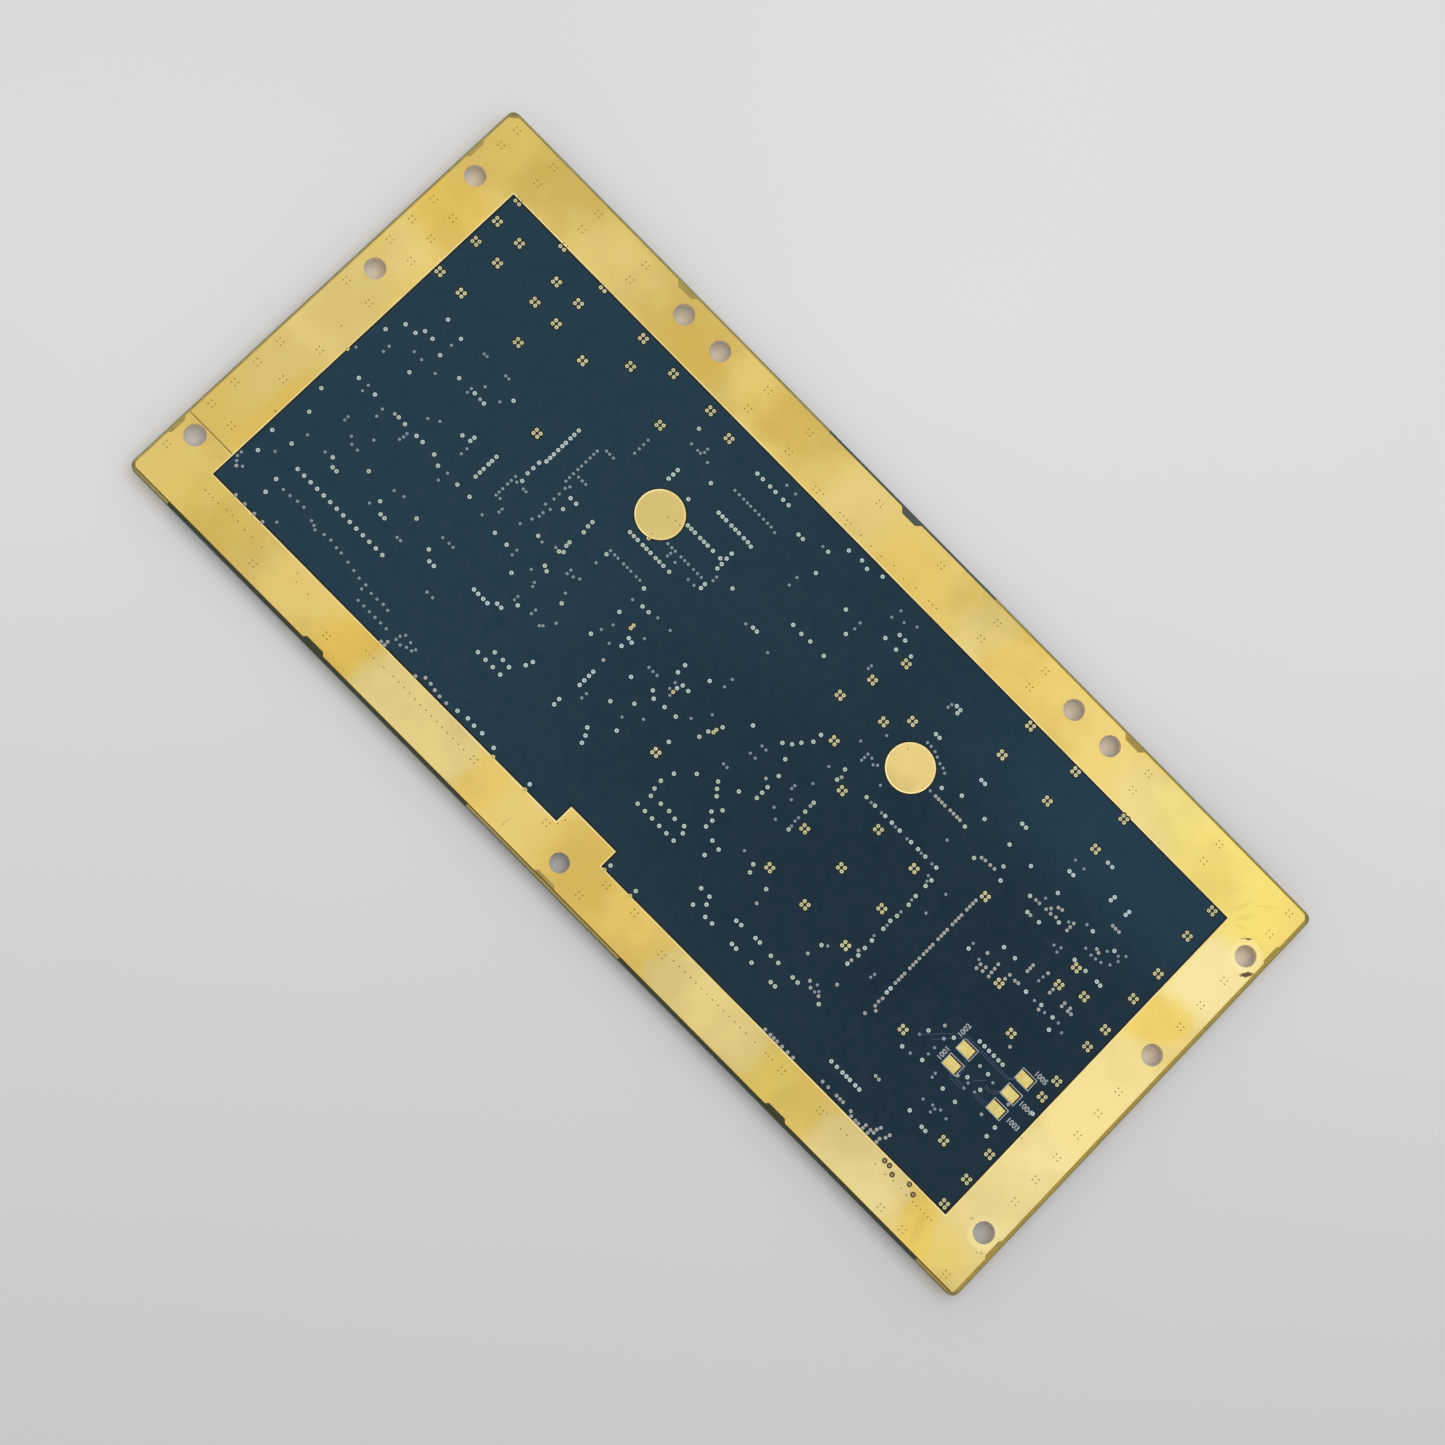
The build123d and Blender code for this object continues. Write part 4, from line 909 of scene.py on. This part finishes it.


# Test pads: printed frames, painted shadows beside the pads, numbers and buried traces
testPrint = {
    "frames": [(189.0, 30.05), (189.0, 34.0), (201.0, 30.05), (201.0, 34.0), (201.0, 38.0)],
    "frameSize": (3.75, 2.8), "line": 0.17, "rise": 0.012,
    "pads": [(190.7, 31.3), (190.7, 35.27), (202.7, 31.3), (202.7, 35.27), (202.7, 39.24)],
    "padSize": (3.15, 2.1), "shadowBand": 0.2,
    "numbers": [("1001", (188.55, 30.15), 90), ("1002", (188.45, 36.1), 90), ("1003", (205.5, 31.05), 0),
                ("1004", (205.1, 35.0), 0), ("1005", (203.3, 41.2), 0)],
    "letterHeight": 1.55, "bold": 0.03, "letterOver": 0.002,
}
printGrey = makePlain("printGrey", (184, 190, 192), (166, 174, 178), 0.6, 2500, specular=0.3)

print("print beside the test pads")
bm = bmesh.new()
for x, y in testPrint["frames"]:
    width, height = testPrint["frameSize"]
    seat = Matrix.Translation(onBoard(x + width / 2, y + height / 2, level["maskTop"]))
    seat = seat @ Matrix.Diagonal((mm(width), mm(height), 1.0, 1.0))
    bmesh.ops.create_grid(bm, x_segments=1, y_segments=1, size=0.5, matrix=seat)
keepBand(bm, testPrint["line"])
finishPiece("test_pad_frames", bm, [printGrey])

# the mask opening lies a little off each pad, and the gap this leaves on two of its sides is painted dark
# as shade
bm = bmesh.new()
for x, y in testPrint["pads"]:
    (width, height), shadowBand = testPrint["padSize"], testPrint["shadowBand"]
    left, low, right, top = x - width / 2, y - height / 2, x + width / 2, y + height / 2
    for x0, y0, y1 in ((left, top, top + shadowBand), (right, low, top)):
        addBlock(bm, onBoard(x0, y0, level["maskTop"] - windowEdge["rise"] / 2),
                 onBoard(right + shadowBand, y1, level["maskTop"] + windowEdge["rise"] / 2))
finishPiece("test_pad_shadows", bm, [edgeShadow])

bm = bmesh.new()
for words, (x, y), turn in testPrint["numbers"]:
    text = bpy.data.curves.new("number_" + words, "FONT")
    text.body = words
    text.size = mm(testPrint["letterHeight"])
    text.extrude = mm(testPrint["rise"] / 2)
    text.offset = mm(testPrint["bold"])
    text.resolution_u = 3
    holder = bpy.data.objects.new("number_" + words, text)
    bpy.context.scene.collection.objects.link(holder)
    bpy.context.view_layer.update()
    flat = bpy.data.meshes.new_from_object(holder.evaluated_get(bpy.context.evaluated_depsgraph_get()))
    flat.transform(Matrix.Translation(onBoard(x, y, level["maskTop"] + testPrint["letterOver"]))
                   @ Matrix.Rotation(math.radians(turn), 4, "Z"))
    bm.from_mesh(flat)
    bpy.data.meshes.remove(flat)
    bpy.data.objects.remove(holder)
finishPiece("test_pad_numbers", bm, [printGrey])

traceLook = {"width": 0.13, "height": 0.012}
tracePaths = [
    [(182.3, 30.9), (187.0, 35.9), (188.7, 37.3), (200.4, 37.3), (201.3, 38.2)],
    [(184.6, 31.9), (187.9, 35.5), (189.3, 36.85), (200.3, 36.85), (201.6, 38.2)],
    [(191.7, 30.0), (192.3, 29.3), (195.1, 29.3)],
    [(193.0, 29.9), (195.3, 29.9)],
    [(197.9, 30.7), (201.1, 30.7)],
    [(197.9, 30.2), (201.0, 30.2)],
    [(198.2, 32.7), (200.0, 32.7), (201.1, 33.8)],
    [(198.2, 33.1), (199.8, 33.1), (200.9, 34.2)],
    [(191.9, 33.95), (193.0, 32.9), (193.2, 31.0)],
    [(195.9, 32.1), (197.6, 33.9)],
]
buriedTrace = makePlain("buriedTrace", (68, 84, 110), (58, 76, 100), 0.5, 1500, specular=0.2)
bm = bmesh.new()
for path in tracePaths:
    for (x0, y0), (x1, y1) in zip(path, path[1:]):
        length = math.hypot(x1 - x0, y1 - y0) + traceLook["width"]
        seat = Matrix.Translation(onBoard((x0 + x1) / 2, (y0 + y1) / 2, level["maskTop"]))
        seat = seat @ Matrix.Rotation(math.atan2(y1 - y0, x1 - x0), 4, "Z")
        seat = seat @ Matrix.Diagonal((mm(length), mm(traceLook["width"]), mm(traceLook["height"]), 1.0))
        bmesh.ops.create_cube(bm, size=1.0, matrix=seat)
finishPiece("buried_traces", bm, [buriedTrace])


# Component side: metal ends and solder of the chips
chipLook = {"endShare": 0.22, "proud": 0.02, "filletRun": 0.35, "filletShare": 0.6, "filletToe": 0.04}
chipNodes = ("large_ceramic_capacitors", "small_ceramic_capacitors", "chip_resistors", "input_fuse")


def bodyBoxes(node):
    # the box of each separate body in a CAD node
    bm = bmesh.new()
    bm.from_mesh(node.data)
    bmesh.ops.remove_doubles(bm, verts=bm.verts, dist=1e-7)
    boxes = []
    waiting = set(bm.verts)
    while waiting:
        ahead = [waiting.pop()]
        found = [ahead[0]]
        while ahead:
            vert = ahead.pop()
            for edge in vert.link_edges:
                other = edge.other_vert(vert)
                if other in waiting:
                    waiting.discard(other)
                    ahead.append(other)
                    found.append(other)
        low = Vector([min(v.co[i] for v in found) for i in range(3)])
        high = Vector([max(v.co[i] for v in found) for i in range(3)])
        boxes.append((low, high))
    bm.free()
    return sorted(boxes, key=lambda box: tuple(box[0]))


print("component side")
ends = bmesh.new()
fillets = bmesh.new()
proud, reach = mm(chipLook["proud"]), mm(chipLook["filletRun"])
for name in chipNodes:
    for low, high in bodyBoxes(nodes[name]):
        size = high - low
        along = 0 if size.x > size.y else 1
        across = 1 - along
        for tip, outwards in ((low[along], -1), (high[along], 1)):
            a, b = low.copy(), high.copy()
            inner = tip - outwards * size[along] * chipLook["endShare"]
            a[along], b[along] = sorted((inner, tip + outwards * proud))
            a[across] -= proud
            b[across] += proud
            a.z -= proud
            addBlock(ends, a, b)
            # the fillet's lower outer edge goes up to its toe at the board
            a, b = low.copy(), high.copy()
            a.z = high.z - size.z * chipLook["filletShare"]
            a[along], b[along] = sorted((tip + outwards * proud / 2, tip + outwards * reach))
            middle = (a + b) / 2
            for vert in addBlock(fillets, a, b):
                if (vert.co[along] - middle[along]) * outwards > 0 and vert.co.z < middle.z:
                    vert.co.z = b.z - mm(chipLook["filletToe"])
finishPiece("chip_ends", ends, [tinnedMetal])
finishPiece("chip_solder", fillets, [solder])


# Studio
studio = {
    "floorColour": (240, 239, 238), "floorShadeAndMottle": (214, 214, 215), "floorSize": 8.0,
    "cloudScale": 3.0, "cloudShare": 0.25,
    "floorPaintedLight": (255, 243, 224),
    "belowEnds": (109, 107), "belowHigh": (49.5, 48), "belowLow": (-35, -20),      # where it fades
    "worldColour": (1.0, 1.0, 1.0, 1.0), "worldLevel": 0.48, "backdropLevel": 0.55,
}
overheadLamp = {"place": (0.05, 0.13, 1.3), "size": 1.25, "power": 8.1}
cameraView = {
    "lens": 72.28, "place": (-0.00174, -0.09936, 0.55178), "turn": (6.6146, -7.2706, 44.8843),
}

print("studio")
floorMaterial, tree, shader, where = startMaterial("paleFloor")
clouds = addNoise(tree, where, studio["cloudScale"], 3.0)
place = splitPlace(tree, where)
# painted shade: the floor is darkened towards larger X and lower Y, and clouds of the same darker tone
# mottle it
paintedShadeNearer = addFade(tree, addMath(tree, "SUBTRACT", place["X"], place["Y"]), -0.12, 0.3)
pale = addMix(tree, paintedShadeNearer, studio["floorColour"], studio["floorShadeAndMottle"])
pale = addMix(tree, addFade(tree, clouds, 0.3, 0.7, 0.0, studio["cloudShare"]), pale, studio["floorShadeAndMottle"])
# painted light: the bench is painted warmer and lighter below the board, where it shows through the upper
# holes
below = addFade(tree, addMath(tree, "ABSOLUTE", place["X"]), *map(mm, studio["belowEnds"]))
for limits in ("belowHigh", "belowLow"):
    below = addProduct(tree, below, addFade(tree, place["Y"], *map(mm, studio[limits])))
pale = addMix(tree, below, pale, studio["floorPaintedLight"])
setInputs(tree, shader, {"Base Color": pale, "Roughness": 0.7, "Specular IOR Level": 0.2})
bm = bmesh.new()
bmesh.ops.create_grid(bm, x_segments=1, y_segments=1, size=studio["floorSize"] / 2)
floor = makeObject("floor", bm, [floorMaterial])

world = bpy.data.worlds.new("softRoom")
bpy.context.scene.world = world
world.use_nodes = True
tree = world.node_tree
light = tree.nodes["Background"]
setInputs(tree, light, {"Color": studio["worldColour"], "Strength": studio["worldLevel"]})
shown = addNode(tree, "ShaderNodeBackground", {
    "Color": studio["worldColour"], "Strength": studio["backdropLevel"]})
rays = tree.nodes.new("ShaderNodeLightPath").outputs
seen = rays["Is Camera Ray"]
for kind in ("Is Glossy Ray", "Is Transmission Ray"):
    seen = addMath(tree, "MAXIMUM", seen, rays[kind])
swap = addNode(tree, "ShaderNodeMixShader", {0: seen, 1: light.outputs[0], 2: shown.outputs[0]})
setInputs(tree, tree.nodes["World Output"], {"Surface": swap.outputs[0]})

lamp = bpy.data.lights.new("overhead", "AREA")
lamp.shape = "SQUARE"
lamp.size = overheadLamp["size"]
lamp.energy = overheadLamp["power"]
holder = bpy.data.objects.new("overhead", lamp)
holder.location = overheadLamp["place"]
holder.rotation_euler = (-Vector(overheadLamp["place"])).to_track_quat("-Z", "Y").to_euler()
bpy.context.scene.collection.objects.link(holder)

camera = bpy.data.objects.new("camera", bpy.data.cameras.new("camera"))
camera.data.lens = cameraView["lens"]
camera.data.sensor_width = 36.0
camera.data.sensor_fit = "HORIZONTAL"
camera.data.clip_start = 0.01
camera.location = cameraView["place"]
camera.rotation_euler = [math.radians(angle) for angle in cameraView["turn"]]
bpy.context.scene.collection.objects.link(camera)
bpy.context.scene.camera = camera
bpy.context.scene.view_settings.view_transform = "Standard"
